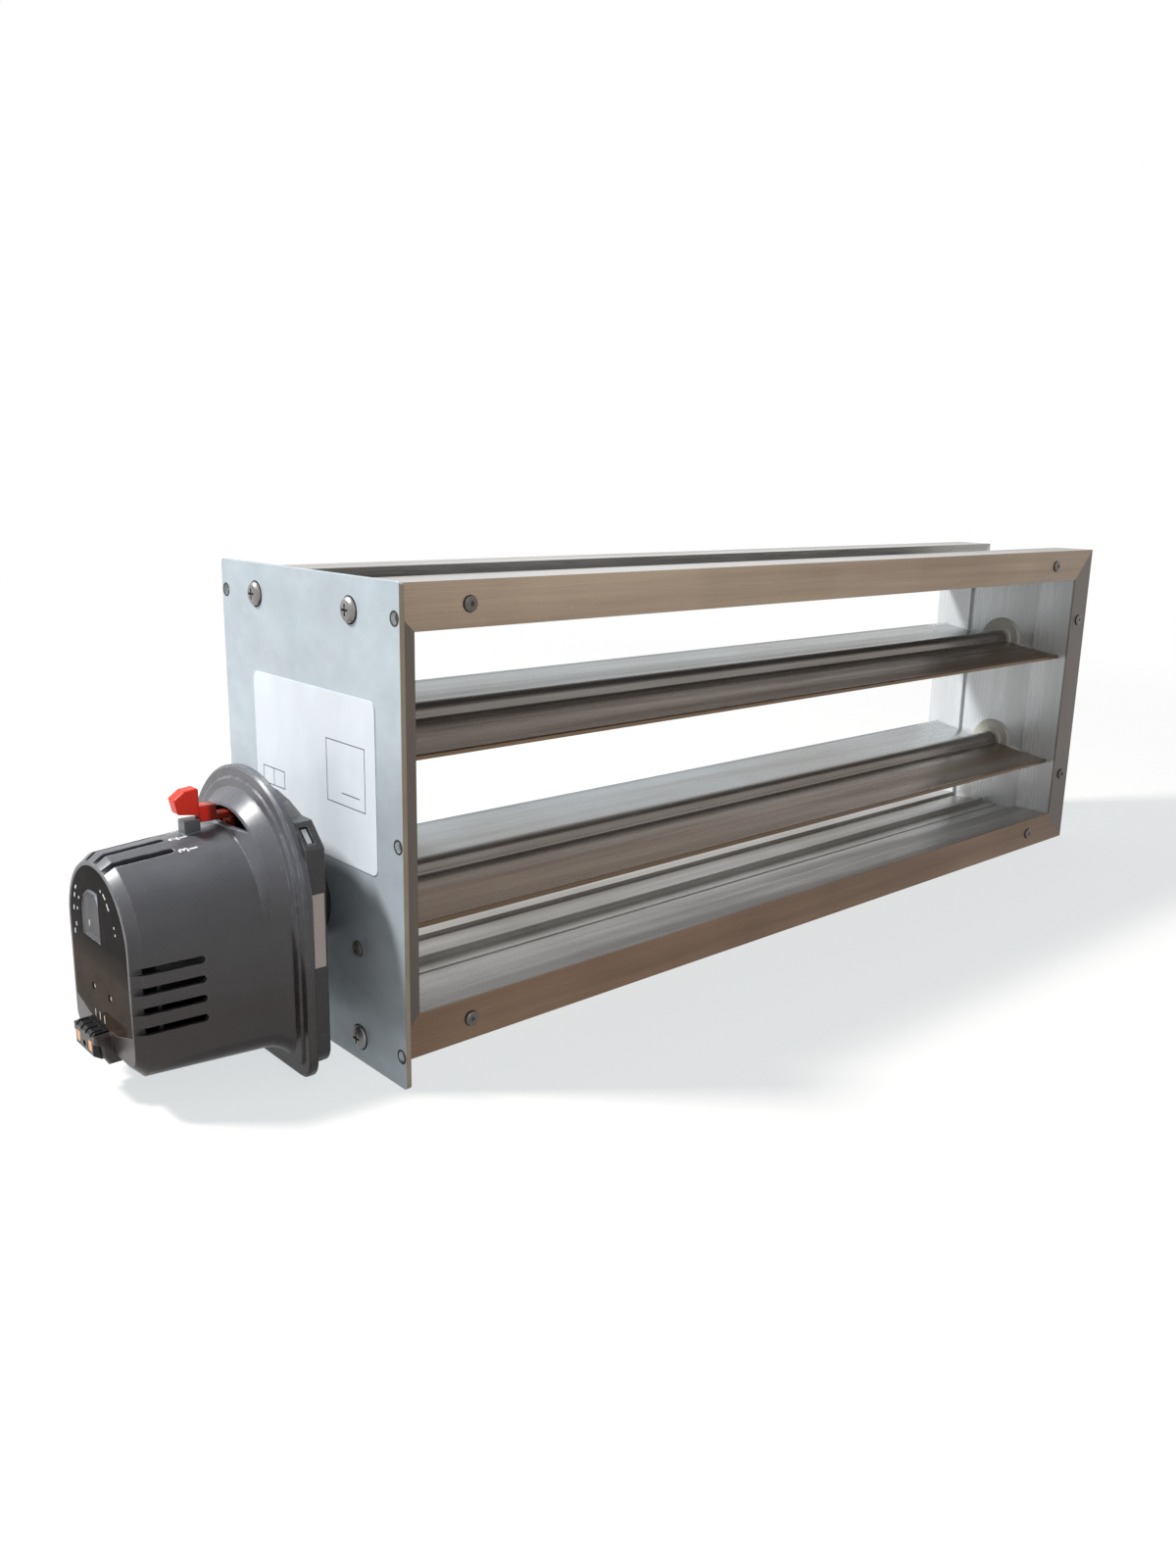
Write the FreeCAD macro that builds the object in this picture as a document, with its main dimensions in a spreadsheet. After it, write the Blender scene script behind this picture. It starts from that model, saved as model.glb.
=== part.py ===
import FreeCAD, Part
import math
import os
import Sketcher

# Motorised parallel blade damper for a flat rectangular duct: four mitred hollow rails, two coupled blades,
# a mounting plate on one end and a geared actuator on the plate. All sizes are millimetres.
# Bench axes: X runs along the blades with zero on the plate's inner face, Y is depth from the front
# face of the frame, Z is height from the bottom of the frame. Every piece is then moved by centre_x
# and centre_y.

DIMENSIONS = {
    # frame and its extrusion
    "frame_width": 553,
    "frame_height": 196,
    "frame_depth": 100,
    "rail_height": 19,
    "box_depth": 25,
    "rail_wall": 1.6,
    "web_recess": 2.4,
    "web_gauge": 1.6,
    "stop_foot": 10,
    "stop_foot_height": 0.5,
    "stop_lip": 3,
    "stop_height": 3.4,
    "face_clearance": 0.3,
    # corner keys and the rivets that hold them
    "key_leg": 54,
    "key_fit": 0.12,
    "rivet_from_corner": 45.5,
    "rivet_radius": 2,
    "rivet_head_radius": 3.2,
    "rivet_head_height": 1.3,
    "rivet_length": 7,
    "fastener_fit": 0.06,
    # mounting plate
    "plate_gauge": 2,
    "plate_front_margin": 22,
    "plate_rear_margin": 18,
    "plate_top_margin": 2.5,
    "plate_corner": 2,
    "mount_hole_radius": 2.4,
    "mount_hole_inset": 3.6,
    "mount_hole_end": 13.3,
    "plate_screw_end": 10.5,
    "plate_screw_radius": 2.3,
    "plate_screw_length": 13,
    "plate_screw_head": 5.1,
    "plate_screw_head_height": 2.1,
    "plate_rivet_height": 49,
    # label on the plate
    "label_gauge": 0.25,
    "label_front": -4,
    "label_depth": 96,
    "label_above_axis": 21,
    "label_height": 69,
    "label_corner": 3.5,
    # blades and their axles
    "blade_pitch": 71,
    "blade_chord": 90,
    "blade_gauge": 1.6,
    "blade_tilt_angle": 8.5,
    "blade_end_gap": 1,
    "tube_radius": 5.6,
    "tube_rise": 1.2,
    "shaft_radius": 4,
    "shaft_seat": 55,
    "press_fit": 0.02,
    "running_fit": 0.05,
    "bearing_flange_radius": 14,
    "bearing_flange": 2,
    "bearing_sleeve_radius": 6.5,
    "bearing_hub_radius": 7.5,
    "bearing_hub": 0.9,
    "bearing_tail": 1.2,
    # linkage in the cavity behind the plate
    "crank_radius": 16,
    "crank_gauge": 3.6,
    "crank_hub_radius": 7,
    "crank_hub": 5.4,
    "crank_eye_radius": 4.6,
    "crank_rest_angle": -35,
    "link_gauge": 2.6,
    "link_half_width": 3.8,
    "link_gap": 0.4,
    "link_pin_radius": 2,
    "link_pin_head": 3.4,
    "link_pin_head_height": 1.4,
    "open_pivot_fit": 0.3,
    "grub_radius": 1.5,
    "grub_length": 4.6,
    # collar between plate and actuator
    "collar_radius": 18,
    "collar_length": 18,
    "collar_screw_circle": 13,
    "collar_screw_radius": 1.75,
    "collar_screw_head": 3.2,
    "collar_screw_head_height": 1.8,
    "collar_screw_length": 11,
    "base_screw_length": 10,
    "cover_screw_radius": 1.25,
    "cover_screw_head": 2.6,
    "cover_screw_length": 8.5,
    "cover_boss_radius": 3.8,
    "cover_screw_high_side": 33.5,
    "cover_screw_high": 31,
    "cover_screw_low_side": 40.5,
    "cover_screw_low": 38,
    # actuator base
    "base_depth": 8,
    "base_half_width": 45,
    "base_top": 43.5,
    "base_arch_top": 50.8,
    "base_arch_radius": 60.7,
    "base_arch_angle": 28,
    "base_bottom": 56,
    "base_chamfer": 9,
    "base_corner": 8,
    "base_wall": 2,
    "hook_window_width": 8,
    "hook_window_depth": 3.6,
    "sticker_gauge": 0.2,
    "sticker_height": 30,
    "sticker_drop": 13.5,
    "sticker_margin": 0.8,
    # actuator cover
    "flange_gauge": 3.5,
    "flange_half_width": 49.4,
    "flange_arch_rise": 10,
    "flange_bottom": 59,
    "flange_corner": 9,
    "disc_radius": 45,
    "disc_step": 0.8,
    "collar_foot_radius": 39.8,
    "collar_rim_radius": 35.2,
    "collar_rim_reach": 38,
    "collar_lip": 1.1,
    "dish_reach": 41,
    "dish_gauge": 1.6,
    "crescent_low": 37.8,
    "root_half_width": 43,
    "collar_low_rear": 53.5,
    "drum_rise": 2,
    "drum_rear_radius": 36,
    "drum_front_radius": 31.8,
    "drum_bottom": 46.7,
    "drum_corner": 8,
    "drum_overlap": 2.5,
    "face_reach": 91.5,
    "bevel_length": 4,
    "face_radius": 29,
    "face_bottom": 42.5,
    "cover_wall": 2.1,
    "nose_proud": 6.5,
    "cheek_gauge": 1.4,
    "cheek_bottom": 47.8,
    "panel_radius": 27.4,
    "panel_bottom": 34.2,
    "panel_shoulder": 29,
    "panel_low_half": 12,
    "panel_gauge": 1.2,
    "panel_fit": 0.1,
    "window_right": 2.5,
    "window_width": 18.5,
    "window_bottom": -1,
    "window_height": 20.5,
    "window_corner": 13,
    "slot_width": 3,
    "slot_end": 64.5,
    "top_slot_middle_angle": 3,
    "top_slot_spacing_angle": 16,
    "side_slot_drop": 5.2,
    "side_slot_spacing": 7.75,
    # range stop lever, and the lug below its knob
    "lever_rear": 50,
    "lever_reach": 60,
    "lever_arm_half_width": 3.2,
    "lever_stem_half_width": 2.6,
    "lever_stem_low": 40.1,
    "lever_stem_high": 42.5,
    "knob_low": 43,
    "knob_high": 54,
    "knob_slope": 3.6,
    "knob_slope_length": 4.2,
    "knob_rise": 1.4,
    "knob_half_width": 3.1,
    "knob_corner": 0.9,
    "lever_ring_radius": 16.5,
    "lever_gauge": 2,
    "lug_length": 6.4,
    "lug_half_width": 3,
    "lug_high": 41.6,
    # gear train
    "gear_module": 0.8,
    "output_teeth": 48,
    "small_teeth": 12,
    "large_teeth": 36,
    "pinion_teeth": 12,
    "gear_gauge": 4,
    "large_gear_gauge": 3,
    "output_hub_radius": 8.4,
    "gear_backlash": 0.14,
    "axle_radius": 1.5,
    # carrier plates, motor, switches, circuit board
    "carrier_gauge": 1.6,
    "carrier_radius": 32,
    "carrier_bottom": 39,
    "rear_carrier": 26.5,
    "front_carrier": 44.4,
    "post_radius": 2.5,
    "post_side": 26,
    "post_top": 15,
    "post_bottom": 33,
    "motor_radius": 11,
    "motor_length": 24,
    "stem_radius": 2.5,
    "board_gap": 11.5,
    "board_gauge": 1.6,
    "board_post_radius": 1.5,
    "board_post_high_side": 20,
    "board_post_high": 14,
    "board_post_low_side": 24,
    "board_post_low": 36,
    "dial_radius": 18.3,
    "dial_gauge": 1.2,
    "dial_gap": 5.5,
    "light_radius": 1.5,
    "light_spacing": 16,
    "light_drop": 20.5,
    # terminal block
    "terminal_side": 4.5,
    "terminal_half_width": 8.6,
    "terminal_gap": 0.3,
    "terminal_height": 11,
    "terminal_depth": 9,
    "terminal_pitch": 4.6,
    "terminal_bore_radius": 1.3,
    "release_width": 3.4,
    "release_height": 4,
    "release_length": 3.2,
    "release_room": 5,
    "release_rise": 3.2,
    # limit switches and their cam
    "switch_side": 12,
    "switch_length": 9,
    "switch_width": 6,
    "switch_height": 13,
    "switch_drop": 4,
    "cam_radius": 7,
    "cam_gauge": 5,
    "cam_flat": 5,
    "cam_gap": 3,
}

FULL_TURN = 360
RIGHT_ANGLE = 90
STEP_FOLDER = "parts"
SHY = 0.05        # keeps curved faces of one moulding from lying in one another

doc = FreeCAD.newDocument("damper")
sheet = doc.addObject("Spreadsheet::Sheet", "dims")
nodes = []


class Size:
    # A number together with the sheet formula that it comes from.
    def __init__(self, number, formula):
        self.number = number
        self.formula = formula

    def joined(self, sign, other, number, swapped=False):
        left, right = (formula_of(other), self.formula) if swapped else (self.formula, formula_of(other))
        return Size(number, "(%s %s %s)" % (left, sign, right))

    def __add__(self, other):
        return self.joined("+", other, self.number + number_of(other))

    def __radd__(self, other):
        return self.joined("+", other, number_of(other) + self.number, True)

    def __sub__(self, other):
        return self.joined("-", other, self.number - number_of(other))

    def __rsub__(self, other):
        return self.joined("-", other, number_of(other) - self.number, True)

    def __mul__(self, other):
        return self.joined("*", other, self.number * number_of(other))

    def __rmul__(self, other):
        return self.joined("*", other, number_of(other) * self.number, True)

    def __truediv__(self, other):
        return self.joined("/", other, self.number / number_of(other))

    def __neg__(self):
        return Size(-self.number, "(0 - %s)" % self.formula)


class Dims:
    # Gives each cell of the sheet as a Size.
    def __getattr__(self, alias):
        return Size(float(sheet.get(alias)), "dims." + alias)


def number_of(value):
    return value.number if isinstance(value, Size) else float(value)


def formula_of(value):
    return value.formula if isinstance(value, Size) else "(%r)" % float(value)


def fill_sheet():
    for row, (alias, value) in enumerate(DIMENSIONS.items(), start=1):
        sheet.set("A%d" % row, alias)
        sheet.set("B%d" % row, str(value))
        sheet.setAlias("B%d" % row, alias)
    doc.recompute()


fill_sheet()
d = Dims()

# Places that several pieces share, all worked out from the sheet.
axis_y = d.frame_depth / 2
low_axis = (d.frame_height - d.blade_pitch) / 2
high_axis = (d.frame_height + d.blade_pitch) / 2
web_face = d.rail_height - d.web_recess
web_back = web_face - d.web_gauge
blade_start = d.rail_height + d.blade_end_gap
blade_length = d.frame_width - 2 * blade_start
nose_reach = d.face_reach + d.nose_proud
bevel_start = d.face_reach - d.bevel_length
dial_reach = d.face_reach - d.dial_gap
board_reach = d.face_reach - d.board_gap
terminal_start = d.face_reach - d.terminal_depth
terminal_top = d.panel_bottom + d.terminal_gap
terminal_y = d.frame_depth / 2 + d.terminal_side
centre_x = (d.frame_width - nose_reach) / 2
centre_y = (d.frame_depth + d.plate_rear_margin - d.plate_front_margin) / 2
crank_front = web_back - d.bearing_tail - d.face_clearance - d.crank_hub
arm_front = web_back - d.bearing_tail - d.face_clearance - d.crank_gauge
link_front = arm_front - d.link_gap - d.link_gauge
pin_head_front = link_front - d.link_gap - d.link_pin_head_height
base_back = d.plate_gauge + d.collar_length
base_front = base_back + d.base_depth
flange_axis = low_axis + d.flange_arch_rise
drum_axis = low_axis + d.drum_rise
flange_front = base_front + d.flange_gauge
first_gap = d.gear_module * (d.output_teeth + d.small_teeth) / 2
second_gap = d.gear_module * (d.large_teeth + d.pinion_teeth) / 2
gear_rear = d.rear_carrier + d.carrier_gauge + 2 * d.link_gap + 2
gear_front = gear_rear + d.gear_gauge
ring_rear = gear_front + 2 * d.link_gap
ring_front = ring_rear + d.lever_gauge
large_rear = ring_front + 4 * d.link_gap
large_front = large_rear + d.large_gear_gauge


def bind(item, prop, value):
    if isinstance(value, Size):
        item.setExpression(prop, value.formula)
    else:
        setattr(item, prop, value)


def place(item, at, axis=(0, 0, 1), angle=0):
    base = FreeCAD.Vector(*[number_of(value) for value in at])
    turn = FreeCAD.Rotation(FreeCAD.Vector(*axis), number_of(angle))
    item.Placement = FreeCAD.Placement(base, turn)
    for letter, value in zip("xyz", at):
        if isinstance(value, Size):
            item.setExpression("Placement.Base." + letter, value.formula)
    if isinstance(angle, Size):
        item.setExpression("Placement.Rotation.Angle", angle.formula)
    return item


def node(item, label, at=(0, 0, 0), axis=(0, 0, 1), angle=0):
    # Gives a finished piece its name and its place in the part's frame.
    item.Label = label
    x, y, z = at
    place(item, (x - centre_x, y - centre_y, z), axis, angle)
    nodes.append(item)
    return item


def box(length, width, height, at, axis=(0, 0, 1), angle=0):
    item = doc.addObject("Part::Box", "block")
    bind(item, "Length", length)
    bind(item, "Width", width)
    bind(item, "Height", height)
    return place(item, at, axis, angle)


def rod(radius, length, at, along="x"):
    # A cylinder whose axis starts at the point and runs towards plus X, plus Y or plus Z.
    item = doc.addObject("Part::Cylinder", "rod")
    bind(item, "Radius", radius)
    bind(item, "Height", length)
    turns = {"x": ((0, 1, 0), RIGHT_ANGLE), "y": ((1, 0, 0), -RIGHT_ANGLE), "z": ((0, 0, 1), 0)}
    return place(item, at, *turns[along])


def group(kind, items):
    item = doc.addObject(kind, "group")
    if kind == "Part::Compound":
        item.Links = items
    else:
        item.Shapes = items
    return item


def fuse(items):
    return group("Part::MultiFuse", items)


def cut(base, tools):
    item = doc.addObject("Part::Cut", "cut")
    item.Base = base
    item.Tool = tools[0] if len(tools) == 1 else group("Part::MultiFuse", tools)
    return item


def new_body(name):
    return doc.addObject("PartDesign::Body", name)


def sketch_on(body, role, offset=0):
    # A sketch on one of the body's own origin planes, moved along the plane's normal.
    sketch = body.newObject("Sketcher::SketchObject", "outline")
    plane = [item for item in body.Origin.OriginFeatures if item.Role == role][0]
    sketch.AttachmentSupport = [(plane, "")]
    sketch.MapMode = "FlatFace"
    sketch.AttachmentOffset.Base.z = 0
    if isinstance(offset, Size):
        sketch.setExpression("AttachmentOffset.Base.z", offset.formula)
    elif offset:
        sketch.AttachmentOffset = FreeCAD.Placement(FreeCAD.Vector(0, 0, offset), FreeCAD.Rotation())
    return sketch


def fix_value(sketch, kind, args, value):
    index = sketch.addConstraint(Sketcher.Constraint(kind, *args, number_of(value)))
    if isinstance(value, Size):
        sketch.setExpression("Constraints[%d]" % index, value.formula)


def fix_point(sketch, geometry, end, x, y):
    fix_value(sketch, "DistanceX", (-1, 1, geometry, end), x)
    fix_value(sketch, "DistanceY", (-1, 1, geometry, end), y)


def draw_polygon(sketch, points):
    first = sketch.GeometryCount
    count = len(points)
    corners = [FreeCAD.Vector(number_of(x), number_of(y), 0) for x, y in points]
    for index in range(count):
        sketch.addGeometry(Part.LineSegment(corners[index], corners[(index + 1) % count]), False)
    for index in range(count):
        following = first + (index + 1) % count
        sketch.addConstraint(Sketcher.Constraint("Coincident", first + index, 2, following, 1))
    for index, (x, y) in enumerate(points):
        fix_point(sketch, first + index, 1, x, y)


def draw_rectangle(sketch, left, bottom, width, height):
    right = left + width
    top = bottom + height
    draw_polygon(sketch, [(left, bottom), (right, bottom), (right, top), (left, top)])


def draw_circle(sketch, x, y, radius):
    centre = FreeCAD.Vector(number_of(x), number_of(y), 0)
    circle = Part.Circle(centre, FreeCAD.Vector(0, 0, 1), number_of(radius))
    geometry = sketch.addGeometry(circle, False)
    fix_value(sketch, "Radius", (geometry,), radius)
    fix_point(sketch, geometry, 3, x, y)


def draw_arch(sketch, x, y, radius, bottom, corner):
    # A half circle about (x, y) on straight sides, with a flat bottom and round lower corners.
    cx, cy, r = number_of(x), number_of(y), number_of(radius)
    low, rc = number_of(bottom), number_of(corner)
    up = FreeCAD.Vector(0, 0, 1)
    first = sketch.GeometryCount

    def point(px, py):
        return FreeCAD.Vector(px, py, 0)

    def arc(px, py, pr, start, end):
        return Part.ArcOfCircle(Part.Circle(point(px, py), up, pr), start, end)

    sketch.addGeometry(arc(cx, cy, r, 0, math.pi), False)
    sketch.addGeometry(Part.LineSegment(point(cx - r, cy), point(cx - r, low + rc)), False)
    sketch.addGeometry(arc(cx - r + rc, low + rc, rc, math.pi, 1.5 * math.pi), False)
    sketch.addGeometry(Part.LineSegment(point(cx - r + rc, low), point(cx + r - rc, low)), False)
    sketch.addGeometry(arc(cx + r - rc, low + rc, rc, 1.5 * math.pi, 2 * math.pi), False)
    sketch.addGeometry(Part.LineSegment(point(cx + r, low + rc), point(cx + r, cy)), False)
    for step in range(6):
        following = first + (step + 1) % 6
        sketch.addConstraint(Sketcher.Constraint("Tangent", first + step, 2, following, 1))
    sketch.addConstraint(Sketcher.Constraint("Vertical", first + 1))
    sketch.addConstraint(Sketcher.Constraint("Vertical", first + 5))
    sketch.addConstraint(Sketcher.Constraint("Horizontal", first + 3))
    fix_point(sketch, first, 3, x, y)
    fix_value(sketch, "Radius", (first,), radius)
    fix_value(sketch, "Radius", (first + 2,), corner)
    fix_value(sketch, "Radius", (first + 4,), corner)
    fix_value(sketch, "DistanceY", (-1, 1, first + 3, 1), bottom)


def pad(body, sketch, length, backwards=False):
    feature = body.newObject("PartDesign::Pad", "pad")
    feature.Profile = sketch
    bind(feature, "Length", length)
    feature.Reversed = backwards
    return feature


def pocket(body, sketch, length, backwards=False):
    # Cuts the outline out of the body; the volume has to fall, or the direction was wrong.
    doc.recompute()
    before = body.Shape.Volume
    feature = body.newObject("PartDesign::Pocket", "pocket")
    feature.Profile = sketch
    bind(feature, "Length", length)
    feature.Reversed = backwards
    doc.recompute()
    if before - feature.Shape.Volume < 0.5:
        raise RuntimeError("a pocket in %s cuts nothing" % body.Label)
    return feature


def round_edges(body, radius, wanted):
    # Fillets the straight edges of the body's last feature that the test picks.
    doc.recompute()
    tip = body.Tip
    names = []
    for index, edge in enumerate(tip.Shape.Edges, start=1):
        if edge.Curve.TypeId == "Part::GeomLine" and wanted(edge):
            names.append("Edge%d" % index)
    feature = body.newObject("PartDesign::Fillet", "rounding")
    feature.Base = (tip, names)
    bind(feature, "Radius", radius)
    return feature


def runs_along(edge, letter):
    return abs(getattr(edge.tangentAt(edge.FirstParameter), letter)) > 0.999


def revolved(points, name="turned"):
    # A solid turned about its own X axis; each point is (place along the axis, radius).
    body = new_body(name)
    sketch = sketch_on(body, "XY_Plane")
    draw_polygon(sketch, points)
    feature = body.newObject("PartDesign::Revolution", "turning")
    feature.Profile = sketch
    feature.ReferenceAxis = (sketch, ["H_Axis"])
    feature.Angle = FULL_TURN
    return body


def rail(label, length, holes, at, axis, angle):
    # One extrusion of the frame, along local X, with its outer side at local Z zero and both ends mitred.
    body = new_body(label + "_section")
    depth, side, wall, top = d.frame_depth, d.box_depth, d.rail_wall, d.rail_height
    sketch = sketch_on(body, "YZ_Plane")
    draw_polygon(sketch, [
        (0, 0), (side, 0), (side, web_back), (depth - side, web_back), (depth - side, 0), (depth, 0),
        (depth, top), (depth - side, top), (depth - side, web_face), (side, web_face), (side, top), (0, top)])
    draw_rectangle(sketch, wall, wall, side - 2 * wall, top - 2 * wall)
    draw_rectangle(sketch, depth - side + wall, wall, side - 2 * wall, top - 2 * wall)
    pad(body, sketch, length)
    mitre = sketch_on(body, "XZ_Plane")
    draw_polygon(mitre, [(0, 0), (top, top), (0, top)])
    draw_polygon(mitre, [(length, 0), (length, top), (length - top, top)])
    pocket(body, mitre, depth)
    tools = []
    for along in (d.rivet_from_corner, length - d.rivet_from_corner):
        for start in (-1, depth - side / 2):
            tools.append(rod(d.rivet_radius + d.fastener_fit, side / 2 + 1, (along, start, top / 2), "y"))
    tools += holes
    return node(cut(body, tools), label, at, axis, angle)


def frame():
    width, height, depth = d.frame_width, d.frame_height, d.frame_depth
    rail("bottom_rail", width, [], (0, 0, 0), (1, 0, 0), 0)
    rail("top_rail", width, [], (0, depth, height), (1, 0, 0), 2 * RIGHT_ANGLE)
    holes = []
    for level in (low_axis, high_axis):
        spot = (level, axis_y, web_back - 1)
        holes.append(rod(d.bearing_sleeve_radius + d.fastener_fit, d.web_gauge + 2, spot, "z"))
    rail("right_jamb", height, holes, (width, 0, 0), (0, 1, 0), -RIGHT_ANGLE)
    # The left jamb is turned the other way up, so its holes count from the top.
    turned = []
    for level in (low_axis, high_axis):
        spot = (height - level, axis_y, web_back - 1)
        turned.append(rod(d.bearing_sleeve_radius + d.fastener_fit, d.web_gauge + 2, spot, "z"))
    for end in (d.plate_screw_end, height - d.plate_screw_end):
        for across in (d.box_depth / 2, depth - d.box_depth / 2):
            turned.append(rod(d.plate_screw_radius + d.fastener_fit, d.rail_wall + 2, (end, across, -1), "z"))
    for across in (d.box_depth / 2, depth - d.box_depth / 2):
        spot = (height - d.plate_rivet_height, across, -1)
        turned.append(rod(d.rivet_radius + d.fastener_fit, d.rail_wall + 2, spot, "z"))
    rail("left_jamb", height, turned, (0, 0, height), (0, 1, 0), RIGHT_ANGLE)


def blade_stop(label, at, axis, angle):
    # A strip on the web: the closed blade's edge comes to rest before its lip, over its low foot.
    body = new_body(label + "_strip")
    sketch = sketch_on(body, "YZ_Plane")
    foot, lip, low, top = d.stop_foot, d.stop_lip, d.stop_foot_height, d.stop_height
    draw_polygon(sketch, [(-foot, 0), (lip, 0), (lip, low), (lip / 2, top), (0, top), (0, low), (-foot, low)])
    pad(body, sketch, d.frame_width - 2 * d.rail_height - 2 * d.face_clearance)
    return node(body, label, at, axis, angle)


def blade_stops():
    start = d.rail_height + d.face_clearance
    blade_stop("bottom_blade_stop", (start, axis_y, web_face), (1, 0, 0), 0)
    rear_face = axis_y + d.tube_rise
    blade_stop("top_blade_stop", (start, rear_face, d.frame_height - web_face), (1, 0, 0), 2 * RIGHT_ANGLE)


def corner_key(corner, rear, screwed):
    # An L-shaped block that fills the rails' hollow boxes round one corner.
    start = d.rail_wall + d.key_fit
    stop = d.rail_height - d.rail_wall - d.key_fit
    leg = d.key_leg
    body = new_body("key_block")
    sketch = sketch_on(body, "XZ_Plane")
    draw_polygon(sketch, [(start, start), (leg, start), (leg, stop), (stop, stop), (stop, leg), (start, leg)])
    pad(body, sketch, d.box_depth - 2 * start, True)
    middle = d.rail_height / 2
    hole = d.rivet_radius + d.fastener_fit
    tools = [rod(hole, d.box_depth, (d.rivet_from_corner, -1, middle), "y")]
    tools.append(rod(hole, d.box_depth, (middle, -1, d.rivet_from_corner), "y"))
    if screwed:
        # The plate's screw enters from the side that faces the plate.
        reach = d.plate_screw_length + 1
        across = d.box_depth / 2 - start
        spots = ((0, across, d.plate_screw_end), (d.plate_screw_end, across, 0))
        tools.append(rod(d.plate_screw_radius + d.fastener_fit, reach, spots[corner], "xz"[corner]))
        if corner == 0:
            tools.append(rod(hole, d.rivet_length, (0, across, d.plate_rivet_height)))
    across = start + rear * (d.frame_depth - d.box_depth)
    places = [(0, across, 0), (0, across, d.frame_height),
              (d.frame_width, across, d.frame_height), (d.frame_width, across, 0)]
    return place(cut(body, tools), places[corner], (0, 1, 0), corner * RIGHT_ANGLE)


def corner_keys():
    keys = [corner_key(corner, rear, corner < 2) for corner in range(4) for rear in (0, 1)]
    node(group("Part::Compound", keys), "corner_keys")


def rivet(head_radius, head_height, radius, length):
    # A blind rivet along its own X axis: shank towards plus X, dished head towards minus X.
    dish = radius * 0.55
    return revolved([
        (-head_height, dish), (-head_height, head_radius * 0.72), (-head_height * 0.55, head_radius),
        (0, head_radius), (0, radius), (length, radius), (length, 0), (-head_height * 0.3, 0),
        (-head_height * 0.3, dish)])


def frame_rivets():
    rivets = []
    near, far = d.rivet_from_corner, d.frame_width - d.rivet_from_corner
    low, high = d.rivet_from_corner, d.frame_height - d.rivet_from_corner
    middle = d.rail_height / 2
    spots = [(x, z) for x in (near, far) for z in (middle, d.frame_height - middle)]
    spots += [(x, z) for x in (middle, d.frame_width - middle) for z in (low, high)]
    for x, z in spots:
        for y, angle in ((0, RIGHT_ANGLE), (d.frame_depth, -RIGHT_ANGLE)):
            item = rivet(d.rivet_head_radius, d.rivet_head_height, d.rivet_radius, d.rivet_length)
            rivets.append(place(item, (x, y, z), (0, 0, 1), angle))
    node(group("Part::Compound", rivets), "frame_rivets")


def mounting_plate():
    body = new_body("plate_sheet")
    sketch = sketch_on(body, "YZ_Plane")
    front = -d.plate_front_margin
    depth = d.frame_depth + d.plate_front_margin + d.plate_rear_margin
    height = d.frame_height + d.plate_top_margin
    draw_rectangle(sketch, front, 0, depth, height)
    pad(body, sketch, d.plate_gauge, True)
    round_edges(body, d.plate_corner, lambda edge: runs_along(edge, "x"))
    holes = sketch_on(body, "YZ_Plane")
    draw_circle(holes, axis_y, low_axis, d.shaft_radius + 1)
    for y in (d.box_depth / 2, d.frame_depth - d.box_depth / 2):
        for z in (d.plate_screw_end, d.frame_height - d.plate_screw_end):
            draw_circle(holes, y, z, d.plate_screw_radius + d.fastener_fit)
        draw_circle(holes, y, d.plate_rivet_height, d.rivet_radius + d.fastener_fit)
    for y in (front + d.mount_hole_inset, front + depth - d.mount_hole_inset):
        for z in (d.mount_hole_end, height / 2, height - d.mount_hole_end):
            draw_circle(holes, y, z, d.mount_hole_radius)
    for y, z in circle_spots(3, d.collar_screw_circle, RIGHT_ANGLE):
        draw_circle(holes, y, z, d.collar_screw_radius + d.fastener_fit)
    pocket(body, holes, d.plate_gauge + 1)
    node(body, "mounting_plate")


def circle_spots(count, radius, first_angle):
    # Evenly spaced points about the actuator's axis.
    spots = []
    for index in range(count):
        angle = math.radians(first_angle + index * FULL_TURN / count)
        spots.append((axis_y + radius * math.cos(angle), low_axis + radius * math.sin(angle)))
    return spots


def cross_screw(head_radius, head_height, radius, length):
    # A domed screw along its own X axis, head towards minus X, with a cross recess.
    crown = head_height * 0.45
    turned = revolved([
        (-head_height, 0), (-head_height, head_radius * 0.45), (-head_height * 0.8, head_radius * 0.75),
        (-crown, head_radius * 0.95), (-crown * 0.5, head_radius), (0, head_radius), (0, radius),
        (length - radius, radius), (length, 0)])
    blade, width = head_radius * 0.95, head_radius * 0.2
    start = -head_height - 0.1
    tools = [box(head_height * 0.75, blade, width, (start, -blade / 2, -width / 2)),
             box(head_height * 0.75, width, blade, (start, -width / 2, -blade / 2))]
    return cut(turned, tools)


def plate_fasteners():
    screws = []
    rivets = []
    for y in (d.box_depth / 2, d.frame_depth - d.box_depth / 2):
        for z in (d.plate_screw_end, d.frame_height - d.plate_screw_end):
            item = cross_screw(d.plate_screw_head, d.plate_screw_head_height, d.plate_screw_radius,
                               d.plate_screw_length)
            screws.append(place(item, (-d.plate_gauge, y, z)))
        item = rivet(d.rivet_head_radius, d.rivet_head_height, d.rivet_radius, d.rivet_length)
        rivets.append(place(item, (-d.plate_gauge, y, d.plate_rivet_height)))
    node(group("Part::Compound", screws), "plate_screws")
    node(group("Part::Compound", rivets), "plate_rivets")


def rating_label():
    body = new_body("label_sheet")
    sketch = sketch_on(body, "YZ_Plane")
    draw_rectangle(sketch, 0, 0, d.label_depth, d.label_height)
    pad(body, sketch, d.label_gauge, True)
    round_edges(body, d.label_corner, lambda edge: runs_along(edge, "x"))
    node(body, "rating_label", (-d.plate_gauge, d.label_front, low_axis + d.label_above_axis))


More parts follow.
